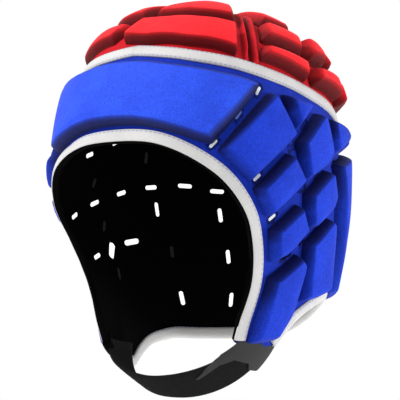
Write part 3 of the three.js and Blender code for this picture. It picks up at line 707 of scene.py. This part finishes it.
def webbing(name, *rows):
    """Ribbed tape: fine ribs along it, worn patches, and rows of stitches at distances across it."""
    m = Finish(name)
    along = m.node("ShaderNodeSeparateXYZ", None, m.attribute("weave", "Vector"))
    across = Socket(m, along.socket.node.outputs[1])
    ribs = (along * (1 / RIB_WIDE)).zigzag()
    grain = m.noise(900, 3.0)
    patches = m.noise(60, 3.0)
    tone = m.blend(grain * 0.5 + patches * 0.5, TAPE_DARK, TAPE_GREY)
    near_row = None
    for row in rows:
        line = (across - row).maths("ABSOLUTE").maths("LESS_THAN", SEAM_HALF)
        near_row = line if near_row is None else near_row + line
    seam = near_row * (along * (1 / SEAM_PITCH)).maths("FRACT").maths("LESS_THAN", SEAM_DASH)
    tone = m.blend(seam * SEAM_TONE, tone, THREAD)
    height = ribs * 0.5 + grain * 0.6 - seam * SEAM_SINK
    m.set(Base_Color=tone, Roughness=0.8, Normal=m.bump(height, TAPE_DEPTH, 0.6), Sheen_Weight=0.05,
          Sheen_Roughness=0.5, Specular_IOR_Level=0.15)
    return m.material


# Darkest tone of the grain, as a share of the colour
GRAIN_SHARE = 0.55


def plain(name, colour, roughness=0.9, scale=900, depth=0.0002, sheen=0.0, specular=0.1):
    """One colour with a fine grain."""
    m = Finish(name)
    grain = m.noise(scale, 4.0, Roughness=0.65)
    dark = tuple(GRAIN_SHARE * c for c in colour[:3]) + (1,)
    m.set(Base_Color=m.blend(grain, dark, colour), Roughness=roughness, Normal=m.bump(grain, depth, 0.8),
          Sheen_Weight=sheen, Sheen_Roughness=0.5, Specular_IOR_Level=specular)
    return m.material


# Painted shade: how the cloth is painted lighter from the shade at a pad's foot (0) to its top (1), and over
# the skins' ridges
PAD_SHADES = [(0, 0.16), (0.1, 0.03), (0.5, 0.1), (0.78, 0.42), (1, 1)]
SKIN_SHADES = [(0, 0), (0.5, 0.4), (1, 1)]

BLUE = (0.0085, 0.038, 0.52, 1)
# The deep blue paints the shade on walls and creases, and is also the colour of the random dark specks
BLUE_SHADE_AND_SPECK = (0.0014, 0.003, 0.038, 1)
BLUE_LIGHT = (0.015, 0.065, 0.78, 1)
RED = (0.8, 0.014, 0.02, 1)
# The deep red paints the shade on walls and creases
RED_SHADE = (0.05, 0.0008, 0.002, 1)
RED_LIGHT = (0.98, 0.026, 0.034, 1)
RED_SPECK = (0.4, 0.004, 0.008, 1)

blue = knit("blue knit", BLUE, BLUE_SHADE_AND_SPECK, BLUE_LIGHT, PAD_SHADES, BLUE_SHADE_AND_SPECK)
# A lighter, shinier copy of the blue knit: painted light on the brow, where the key light falls
brow_blue_lit = knit("blue knit of the brow", (0.013, 0.055, 0.62, 1), BLUE_SHADE_AND_SPECK, (0.022, 0.095, 0.88, 1),
                 PAD_SHADES, (0.004, 0.012, 0.16, 1), 0.12)
# The skins' knits are darker copies of the pads' knits on the same fabric: painted shade for the channels
# between the pads
blue_skin_shaded = knit("blue knit on the skin", (0.005, 0.025, 0.37, 1), BLUE_SHADE_AND_SPECK, BLUE, SKIN_SHADES, BLUE_SHADE_AND_SPECK)
red = knit("red knit", RED, RED_SHADE, RED_LIGHT, PAD_SHADES, RED_SPECK, 0.07)
red_skin_shaded = knit("red knit on the skin", (0.4, 0.006, 0.012, 1), RED_SHADE, (0.6, 0.008, 0.018, 1),
                SKIN_SHADES, RED_SPECK)
TAPE_GREY = (0.52, 0.515, 0.51, 1)
TAPE_DARK = (0.34, 0.335, 0.33, 1)
THREAD = (0.1, 0.13, 0.34, 1)
tape = webbing("ribbed tape", -3.4, 3.4)
edging = webbing("ribbed edging", 6.7)
neck_tape = webbing("ribbed neck edging", 5.4)
black = plain("black lining", (0.0016, 0.0016, 0.0018, 1), 0.95, 1200, 0.0002, 0.0, 0.02)
pile = plain("looped pile", (0.011, 0.011, 0.0115, 1), 0.95, 520, 0.0026, 0.004, 0.02)
smooth = plain("smooth webbing", (0.026, 0.026, 0.027, 1), 0.6, 1500, 0.0002, 0.0, 0.1)
foam = plain("pale foam", (0.74, 0.78, 0.84, 1))
# Painted shade: darker blue cloth in the slots, and foam tinted blue as if in shade
shaded_slot_cloth = plain("cloth in the slots", (0.004, 0.018, 0.24, 1))
shaded_foam = plain("foam in the shade", (0.12, 0.2, 0.62, 1))
# Painted light: the pale plates glow as the light seen through the slots, the dark ones glow faintly under
# the pads
slot_glow = plain("light through the slots", (0.9, 0.9, 0.9, 1), depth=0.0001)
dark_slot_glow = plain("slots under the pads", (0.004, 0.004, 0.004, 1), depth=0.0001)
LIT_GLOW, DIM_GLOW = 0.95, 0.007
for material, glow in ((slot_glow, LIT_GLOW), (dark_slot_glow, DIM_GLOW)):
    shader = material.node_tree.nodes["Principled BSDF"]
    shader.inputs["Emission Color"].default_value = (1, 1, 1, 1)
    shader.inputs["Emission Strength"].default_value = glow


def finish(obj, material, slot, *nodes):
    """Gives a piece its material, puts it on the root body and hides the solids that it takes the place of.
    The slot is not used.
    """
    obj.data.materials.clear()
    obj.data.materials.append(material)
    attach(obj, "root")
    if nodes:
        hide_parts(*nodes)
    return obj


# Vent slots

def slot_frames(which):
    """Direction, long axis and short axis of each slot of one list."""
    side = 1 if which == "left" else -1
    out = []
    for az, el, angle, *size in SLOTS[which]:
        d = direction(np.array(side * az), np.array(el))
        n = form_normal(d)
        level_line = unit(np.cross([0, 0, 1.0], n))
        rise = np.cross(n, level_line)
        a = math.radians(angle)
        along = level_line * math.cos(a) * side + rise * math.sin(a)
        long, wide = size or (1, 1)
        out.append((d, along * long, np.cross(n, along) * wide))
    return out


def slot_blocks(name, frames, levels, share=1.0):
    """Rounded blocks at the slots, between two levels, at a share of the slots' size."""
    turn = np.linspace(0, math.pi, ROUND_STEPS)
    radius = SLOT_WIDTH / 2 * share
    half = SLOT_LENGTH / 2 * share - radius
    ends = [(half + radius * math.sin(t), -radius * math.cos(t)) for t in turn]
    ends += [(-half - radius * math.sin(t), radius * math.cos(t)) for t in turn]
    return prisms(name, [[[on_form(d, level) + along * u + across * v for u, v in ends] for level in levels]
                         for d, along, across in frames])


def slot_fill(name, frames, levels, share, material):
    obj = slot_blocks(name, frames, levels, share)
    sharpen(obj)
    finish(obj, material, "lining_fabric")


def cut(obj, cutter):
    """Takes the cutter out of a closed mesh."""
    change = obj.modifiers.new("slots", "BOOLEAN")
    change.operation = "DIFFERENCE"
    change.solver = "MANIFOLD"
    change.object = cutter
    bpy.context.view_layer.update()
    graph = bpy.context.evaluated_depsgraph_get()
    mesh = bpy.data.meshes.new_from_object(obj.evaluated_get(graph))
    obj.modifiers.clear()
    obj.data = mesh
    mesh.shade_smooth()
    sharpen(obj)


# Runs along the edges

# Places along half of the tape, along the edges of the face opening and the neck, and along a flap
TAPE_COUNT, EDGE_COUNT, FLAP_COUNT = 110, 62, 18
tape_half = smooth_run(TAPE_LINE, TAPE_COUNT)
face_half = smooth_run(FACE_EDGE, EDGE_COUNT)
flap_halves = [smooth_run(table, FLAP_COUNT) for table in (FLAP_LEFT, FLAP_RIGHT)]
neck_halves = [smooth_run(table, EDGE_COUNT) for table in (NECK_LEFT, NECK_RIGHT)]
# Share of the tape's half that lies above the brow, the flap's two corners and the back
TAPE_SHARES = (0, 0.36, 0.5, 1)


def both(half):
    """Run from the right end to the left one: a half's mirror image, then the half."""
    return np.vstack([mirror(half)[::-1][:-1], half])


def band_grid(face_in, neck_up, rows):
    """Directions over the band from its lower boundary up to the tape's line."""
    halves = []
    for side in (0, 1):
        face = beside(face_half, across_run(face_half), face_in)
        neck = beside(neck_halves[side], across_run(neck_halves[side]), neck_up)
        low = np.vstack([face, flap_halves[side][1:-1], neck])
        corners = [0, EDGE_COUNT - 1, EDGE_COUNT + FLAP_COUNT - 1, len(low) - 1]
        upper_at = np.interp(np.arange(len(low)), corners, TAPE_SHARES)
        s = np.linspace(0, 1, TAPE_COUNT)
        top = unit(np.stack([np.interp(upper_at, s, tape_half[:, k]) for k in range(3)], -1))
        t = np.linspace(0, 1, rows)[:, None, None]
        halves.append(unit(low[None] * (1 - t) + top[None] * t))
    return np.concatenate([halves[0], (halves[1] * [-1, 1, 1])[:, ::-1][:, 1:-1]], axis=1)


# The slots are cut from below the lining to above the pads' feet
cutter = slot_blocks("slot_cutter", slot_frames("left") + slot_frames("right"), (-4, 9))

# Lining: the band and the crown in one sheet
CUP_ROWS = 30
lower = band_grid(face_in=0, neck_up=0, rows=40)
t = np.linspace(0, 1, CUP_ROWS)[1:-1, None, None]
upper = unit(lower[-1][None] * (1 - t) + np.array([0, 0, 1.0]) * t)
cup = np.concatenate([lower, upper])


def closed_cup(name, dirs, low, high):
    """Closed cup over rings of directions, with a middle at the top."""
    rows, columns = dirs.shape[:2]
    places = np.vstack([dirs.reshape(-1, 3), [[0, 0, 1.0]]])
    n = len(places)
    last = n - 1 - columns
    faces = wall_faces(rows, columns, True) + wall_faces(rows, columns, True, n, True)
    for j in range(columns):
        k = (j + 1) % columns
        faces += [(j, n + j, n + k, k), (last + j, last + k, n - 1), (n + last + k, n + last + j, 2 * n - 1)]
    return mesh_object(name, np.vstack([on_form(places, high), on_form(places, low)]), faces)


lining = closed_cup("lining_knit", cup, 0.0, LINING_TOP)
cut(lining, cutter)
finish(lining, black, "lining_fabric", "lining")

# Blue skin of the band
grid = band_grid(face_in=6.5, neck_up=1.5, rows=44)
skin = thick_sheet("band_cover", grid, SKIN_BOTTOM, SKIN_TOP, wrap=True)
cut(skin, cutter)
finish(skin, blue_skin_shaded, "blue_fabric", "band_skin")


def azimuths(d):
    return np.degrees(np.arctan2(d[:, 0], -d[:, 1]))


# Crown skins, in front of and behind the crease
CREASE_COUNT = 90
side, lean = np.radians(np.array(CROWN_CREASE, float)).T
crease_half = through(np.stack([np.sin(side), -np.cos(side) * np.sin(lean), np.cos(side) * np.cos(lean)], -1))
crease = even(both(crease_half), CREASE_COUNT)
end_az = azimuths(crease)[-1]
front_ring = both(tape_half)
front_arc = even(front_ring[np.abs(azimuths(front_ring)) < end_az], CREASE_COUNT)
back_ring = np.vstack([tape_half, mirror(tape_half)[::-1][1:]])
back_az = azimuths(back_ring) % 360
back_arc = even(back_ring[(back_az > end_az) & (back_az < 360 - end_az)], CREASE_COUNT)[::-1]

# Sewn ridge on each side of the crease: (distance from it, rise above the skin), and where it fades
RIDGE = [(0, -1.4), (0.8, -0.4), (1.6, 1.6), (2.6, 3), (3.8, 3.6), (5, 3.4), (6.2, 2), (7.2, 0.6), (8, 0)]
RIDGE_FADE_START, RIDGE_FADE_SPAN = 7, 14
# Painted shade there, as how light the cloth is: (distance from the crease, share)
CREASE_PAINTED_SHADE = [(0, 0), (1, 0.1), (2.4, 0.6), (3.6, 1), (5.4, 0.95), (6.6, 0.45), (7.6, 0.4), (10, 0.85)]
CREASE_SHADE_FADE = 12
# Rows of a crown sheet, how they crowd towards the crease, and the ridge's share in the underside
SHEET_ROWS, SHEET_CROWDING, RIDGE_UNDER = 56, 1.8, 0.4


def crown_sheet(name, arc, *nodes):
    """Skin between the tape and the crease."""
    t = 1 - np.linspace(1, 0, SHEET_ROWS)[:, None, None] ** SHEET_CROWDING
    dirs = unit(arc[None] * (1 - t) + crease[None] * t)
    places = on_form(dirs, 0)
    away = np.linalg.norm(places - places[-1], axis=-1)
    ridge = np.interp(away, *np.array(RIDGE, float).T)
    ridge *= np.clip((away[:1] - RIDGE_FADE_START) / RIDGE_FADE_SPAN, 0, 1)
    # Painted shade in the crease and at the foot of its ridges, faded out where the sheet is short
    light = np.interp(away, *np.array(CREASE_PAINTED_SHADE, float).T)
    light = 1 - (1 - light) * np.clip(away[:1] / CREASE_SHADE_FADE, 0, 1)
    obj = thick_sheet(name, dirs, SKIN_BOTTOM + RIDGE_UNDER * ridge, SKIN_TOP + ridge, rise=light)
    cut(obj, cutter)
    finish(obj, red_skin_shaded, "red_fabric", *nodes)


crown_sheet("crown_cover_front", front_arc, "crown_skin_front")
crown_sheet("crown_cover_rear", back_arc, "crown_skin_rear")

# Brow pad: places along each half edge, scale of its map, radii of its corners and bends, and the width
# of its walls, with a wide slope at each end
BROW_COUNT, BROW_SCALE = 16, 88
BROW_CORNER, BROW_BEND = 5.0, 40.0
BROW_WALL, BROW_SLOPE = 4.5, 13
BROW_END = 2 * BROW_COUNT - 2
brow_low = smooth_run(BROW_LOW, BROW_COUNT)
brow_high = smooth_run(BROW_HIGH, BROW_COUNT)
loop = np.vstack([both(brow_low), both(brow_high)[::-1]])
belt = Belt(BROW_SCALE)
radii = [BROW_BEND] * len(loop)
for corner in (0, BROW_END, BROW_END + 1, len(loop) - 1):
    radii[corner] = BROW_CORNER
walls = ([BROW_WALL] * BROW_END + [BROW_SLOPE]) * 2
brow = pad("brow_pad", belt, belt.flat(loop), radii, PAD_HEIGHT, wall=walls)
finish(brow, brow_blue_lit, "blue_fabric", "pad_brow")


def place_pad(name, node, table, height, dark, side="left"):
    """Pad in place of a solid."""
    az, el, radii = np.array(table, float).T
    dirs = direction(-az if side == "right" else az, el)
    plane = Plane(dirs)
    obj = pad(name, plane, plane.flat(dirs), radii, height, dark=dark, forward=1 if side == "right" else -1)
    if node.startswith("crown"):
        finish(obj, red, "red_fabric", node)
    else:
        finish(obj, blue, "blue_fabric", node)


# Each group of pads gets its own way of painting shade on its walls
for name, table in BAND_PADS.items():
    for side in ("left", "right"):
        place_pad(f"{name}_{side}_pad", f"pad_{name}_{side}", table, PAD_HEIGHT, BAND_WALL_SHADE, side)
for name, table in CROWN_PADS.items():
    for side in ("left", "right"):
        tall = CROWN_TALL_HEIGHT if name in CROWN_TALL else CROWN_PAD_HEIGHT
        if side == "right" and name in CROWN_LOW:
            tall = CROWN_LOW_HEIGHT
        place_pad(f"{name}_{side}_crown", f"crown_{name}_{side}", table, tall, CROWN_WALL_SHADE, side)
for node, table in {**MIDDLE_PADS, **FRONT_PADS}.items():
    tall, dark = PAD_HEIGHT, EVEN_WALL_SHADE
    if node.startswith("crown"):
        tall, dark = CROWN_PAD_HEIGHT, CROWN_WALL_SHADE
    if node == "crown_front_low_right":
        tall = FRONT_RIGHT_HEIGHT
    place_pad(f"{node}_foam", node, table, tall, dark)


# Tape and bindings: sections as (distance across the run, level)
def ribbon(name, run, section, closed):
    """Band that follows a run of directions."""
    across = across_run(run, closed)
    stations = np.stack([on_form(beside(run, across, a), level) for a, level in section], 1)
    return swept(name, stations, closed, [a for a, _ in section])


TAPE_SECTION = [(-4.3, 3.1), (-4.25, 4.0), (-3.8, 4.5), (-2, 4.75), (0, 4.8), (2, 4.75), (3.8, 4.5),
                (4.25, 4.0), (4.3, 3.1)]
FACE_SECTION = [(7.9, 3.1), (7.8, 4.1), (7.3, 4.5), (6, 4.7), (4, 4.75), (1.8, 4.7), (0.7, 4.5),
                (0.1, 4.1), (-0.1, 3.4), (0.4, 3)]
ROLL_SECTION = [(0.6, 4.2), (-0.2, 4), (-0.8, 3.2), (-1, 2), (-0.9, 0.6), (-0.3, -0.4), (0.8, -0.7),
                (2.4, -0.4), (2.4, 0.3), (0.4, 0.4), (0.3, 3.4)]
NECK_SECTION = [(6.6, 3.1), (6.5, 4.3), (6, 4.8), (4.4, 5), (2.5, 4.9), (0.4, 4.5), (-1, 3.4), (-1.5, 1.8),
                (-1.2, 0), (-0.4, -1.1), (1.2, -1.6), (3.4, -1.7), (5.6, -1.5), (6, -1), (5.9, -0.1),
                (0.5, 0.1), (0.4, 2.6)]

FLAP_SECTION = [(-12, 3.2), (-11.6, 4.6), (-8, 5), (-3, 4.9), (0.4, 4.4), (1.6, 3), (1.8, 1), (1, -0.8),
                (-2, -1.2), (-8, -1.2), (-8.4, -0.4), (-2, 0)]
# The roll inside the face opening ends this many places before the left flap's lower corner
ROLL_STOP = 3

finish(ribbon("crown_tape", back_ring[:-1], TAPE_SECTION, True), tape, "edge_tape", "seam_tape")
face_run = both(face_half)
finish(ribbon("face_edging", face_run, FACE_SECTION, False), edging, "edge_tape", "face_binding")
finish(ribbon("face_edge_roll", face_run[:-ROLL_STOP], ROLL_SECTION, False), black, "lining_fabric")
flap_run = mirror(flap_halves[1])
finish(ribbon("flap_edge_roll", flap_run, FLAP_SECTION, False), black, "lining_fabric")
neck_run = np.vstack([neck_halves[0], mirror(neck_halves[1])[::-1][1:]])
finish(ribbon("neck_edging", neck_run, NECK_SECTION, False), neck_tape, "edge_tape", "neck_binding")

bpy.data.objects.remove(cutter)

# What fills the slots: pale foam edges on the left, blue-tinted foam and darkened cloth as painted shade,
# plates that glow as painted light that comes through on the right, and dark plates with a faint painted glow
# under the pads
left_slots, right_slots = slot_frames("left"), slot_frames("right")
slot_fill("slot_foam", [left_slots[i] for i in (0, 2, 3, 4)], (1.9, 3.1), 0.66, foam)
slot_fill("slot_foam_deep", [left_slots[1]], (1.9, 3.1), 0.7, shaded_foam)
slot_fill("slot_cloth", left_slots[:9], (0.2, 2.8), 1.0, shaded_slot_cloth)
slot_fill("slot_light", right_slots, (0.5, 1.2), 1.02, slot_glow)
slot_fill("slot_shade", slot_frames("faint"), (-0.3, 0.0), 0.8, dark_slot_glow)

# Chin strap: up inside each flap, and in a sagging arc between them
STRAP_AZ, STRAP_EL = 74.5, -62.5
STRAP_IN = -2.8
STRAP_WIDE = 27
STRAP_THICK = 2.4
STRAP_UP = 5
# The part inside the right flap leans by this for each millimetre up
STRAP_LEAN = np.array([-0.06, 0.05, 1])
# Places along the hanging part and up the right flap, and how far round the left end starts early
ARC_COUNT, UP_COUNT, ARC_EARLY = 64, 8, 0.36
ARC_START = math.radians(20)
CHIN_DROP = 27
CHIN_FORWARD = 14
CHIN_TILT = math.radians(26)
# Twice the radius that the edges curl to
CURL = 110
# Extra at the left flap: outwards, backwards and in width, and how it fades
NEAR_OUT, NEAR_BACK, NEAR_WIDE = 4.5, 3.4, 5
NEAR_FADE = 0.8
# Share of a band's width that its edge is eased over, and what keeps its faces apart
EDGE_EASE, EDGE_APART = 0.04, 0.02
foot = on_form(direction(np.array(STRAP_AZ), np.array(STRAP_EL)), STRAP_IN)


def near(turn):
    """1 at the left flap and 0 from the middle on."""
    return max(math.cos(turn) / math.cos(ARC_START), 0) ** NEAR_FADE


def sag_at(turn):
    return (math.sin(turn) - math.sin(ARC_START)) / (1 - math.sin(ARC_START))


def strap_middle(turn):
    sag = sag_at(turn)
    w = near(turn)
    return np.array([foot[0] * math.cos(turn) / math.cos(ARC_START) + NEAR_OUT * w,
                     foot[1] - CHIN_FORWARD * sag + NEAR_BACK * w, foot[2] - CHIN_DROP * sag])


def on_strap(turn, across, level):
    """Place on the hanging part: across from -0.5 to 0.5 of its width, level above its middle."""
    sag = sag_at(turn)
    tangent = unit(strap_middle(turn + 0.01) - strap_middle(turn - 0.01))
    wide = np.array([0, math.cos(CHIN_TILT * sag), -math.sin(CHIN_TILT * sag)])
    out = unit(np.cross(wide, tangent))
    if out @ np.array([math.cos(turn), 0, -math.sin(turn)]) < 0:
        out = -out
    wide_by = STRAP_WIDE + NEAR_WIDE * near(turn)
    curl = (across * wide_by) ** 2 * math.cos(turn) ** 2 / CURL
    return strap_middle(turn) + wide * across * wide_by + out * (level - curl)


def rounded_band(at, thick, places=13):
    """Section points of a flat band with eased edges; at(across, level) gives a place."""
    cross = np.linspace(-0.5, 0.5, places)
    ease = np.clip((0.5 - np.abs(cross)) / EDGE_EASE, 0, 1) ** 0.5
    top = [at(c, thick / 2 * e) for c, e in zip(cross, ease)]
    low = [at(c, -thick / 2 * e - EDGE_APART) for c, e in zip(cross[::-1], ease[::-1])]
    return np.array(top + low[1:-1])


def strap_stations():
    """Sections of the strap from the left flap round to the inside of the right one."""
    stations = []
    for turn in np.linspace(ARC_START - ARC_EARLY, math.pi - ARC_START, ARC_COUNT):
        stations.append(rounded_band(lambda c, w: on_strap(turn, c, w), STRAP_THICK))
    end = stations[-1]
    for rise in np.linspace(0, STRAP_UP, UP_COUNT)[1:]:
        stations.append(end + STRAP_LEAN * rise)
    return np.array(stations)


finish(swept("chin_band", strap_stations(), False), pile, "strap_fabric", "chin_strap")

# Smooth tab over the strap below the left flap, with a notched free end
TAB_LONG, TAB_THICK = 36, 1.2
# How far round it starts early, its width in strap widths, and its height above the strap's face
TAB_EARLY, TAB_WIDE, TAB_ABOVE = 0.03, 1.08, 0.5
# The band that it is cut from: width in widths of the tab, start and end in its lengths, and places
BLANK_WIDE, BLANK_START, BLANK_END, BLANK_COUNT = 1.2, -0.24, 1.4, 58
# Levels that the cutters reach, and what they cut off: (along, across) in lengths and widths of the tab
CUT_UNDER, CUT_OVER = -4, 5
TAB_NOTCH = [(0.5, 0.66), (0.55, 0.28), (0.42, 0.1), (0.5, -0.28), (0.8, -0.37), (1.36, -0.19),
             (1.7, -0.19), (1.7, 0.66)]
TAB_SLANT = [(0.56, -0.75), (0.6, -0.58), (0.98, -0.46), (1.36, -0.24), (1.7, -0.24), (1.7, -0.75)]
TAB_TOP = [(-0.5, -0.75), (0.05, -0.75), (-0.13, -0.3), (-0.1, 0.66), (-0.5, 0.66)]
strap_reach = foot[0] / math.cos(ARC_START) + NEAR_OUT


def on_tab(along, across, level):
    turn = ARC_START - TAB_EARLY + along * TAB_LONG / strap_reach
    return on_strap(turn, across * TAB_WIDE, STRAP_THICK / 2 + TAB_ABOVE + level)


stations = np.array([rounded_band(lambda c, w: on_tab(x, BLANK_WIDE * c, w), TAB_THICK, 17)
                     for x in np.linspace(BLANK_START, BLANK_END, BLANK_COUNT)])
tab = swept("tab_patch", stations, False)
for shape in (TAB_NOTCH, TAB_SLANT, TAB_TOP):
    notch = prisms("notch", [[[on_tab(x, c, level) for x, c in shape] for level in (CUT_UNDER, CUT_OVER)]])
    cut(tab, notch)
    bpy.data.objects.remove(notch)
finish(tab, smooth, "tab_fabric", "strap_tab")

# Camera, light and floor

AZIMUTH, ELEVATION, ROLL, DISTANCE = 36.177, -10.0, 3.957, 1464.05
FOCAL_PIXELS, MIDDLE_X, MIDDLE_Y, PIXELS = 2153.2, 205.93, 189.33, 400
SENSOR, CLIP_END = 36, 100
FLOOR_SIZE, FLOOR_LEVEL = 12, -0.6

a, e, r = (math.radians(v) for v in (AZIMUTH, ELEVATION, ROLL))
back = np.array([math.sin(a) * math.cos(e), -math.cos(a) * math.cos(e), math.sin(e)])
right = np.array([math.cos(a), math.sin(a), 0])
up = np.cross(back, right)
right, up = right * math.cos(r) + up * math.sin(r), up * math.cos(r) - right * math.sin(r)
camera = bpy.data.objects.new("camera", bpy.data.cameras.new("camera"))
bpy.context.scene.collection.objects.link(camera)
place = (back * DISTANCE - [0, 0, CROWN_HEIGHT]) * MM
turned = Matrix([(right[i], up[i], back[i]) for i in range(3)]).to_4x4()
camera.matrix_world = Matrix.Translation(Vector(place)) @ turned
camera.data.sensor_width = SENSOR
camera.data.lens = FOCAL_PIXELS / PIXELS * SENSOR
camera.data.shift_x = -(MIDDLE_X - PIXELS / 2) / PIXELS
camera.data.shift_y = -(PIXELS / 2 - MIDDLE_Y) / PIXELS
camera.data.clip_end = CLIP_END
bpy.context.scene.camera = camera
bpy.context.scene.view_settings.view_transform = "Standard"

world = bpy.context.scene.world or bpy.data.worlds.new("world")
bpy.context.scene.world = world
world.use_nodes = True
world.node_tree.nodes["Background"].inputs["Color"].default_value = (1, 1, 1, 1)
world.node_tree.nodes["Background"].inputs["Strength"].default_value = 1.0


def area(name, place, size, power, aim=(0, 0, -0.1)):
    """Round area light that looks at the cap."""
    light = bpy.data.lights.new(name, "AREA")
    light.shape = "DISK"
    light.size = size
    light.energy = power
    obj = bpy.data.objects.new(name, light)
    bpy.context.scene.collection.objects.link(obj)
    obj.location = place
    obj.rotation_euler = (Vector(aim) - Vector(place)).to_track_quat("-Z", "Y").to_euler()


area("key", (-0.7, -1.4, 1.0), 0.45, 34)
area("rim", (1.35, 0.95, -0.3), 0.4, 17)
area("top", (0.6, -0.3, 1.6), 0.5, 8)

bpy.ops.mesh.primitive_plane_add(size=FLOOR_SIZE, location=(0, 0, FLOOR_LEVEL))
floor = bpy.context.object
floor.name = "floor"
paper = Finish("paper")
paper.set(Base_Color=(0.95, 0.95, 0.95, 1), Roughness=0.9)
floor.data.materials.append(paper.material)
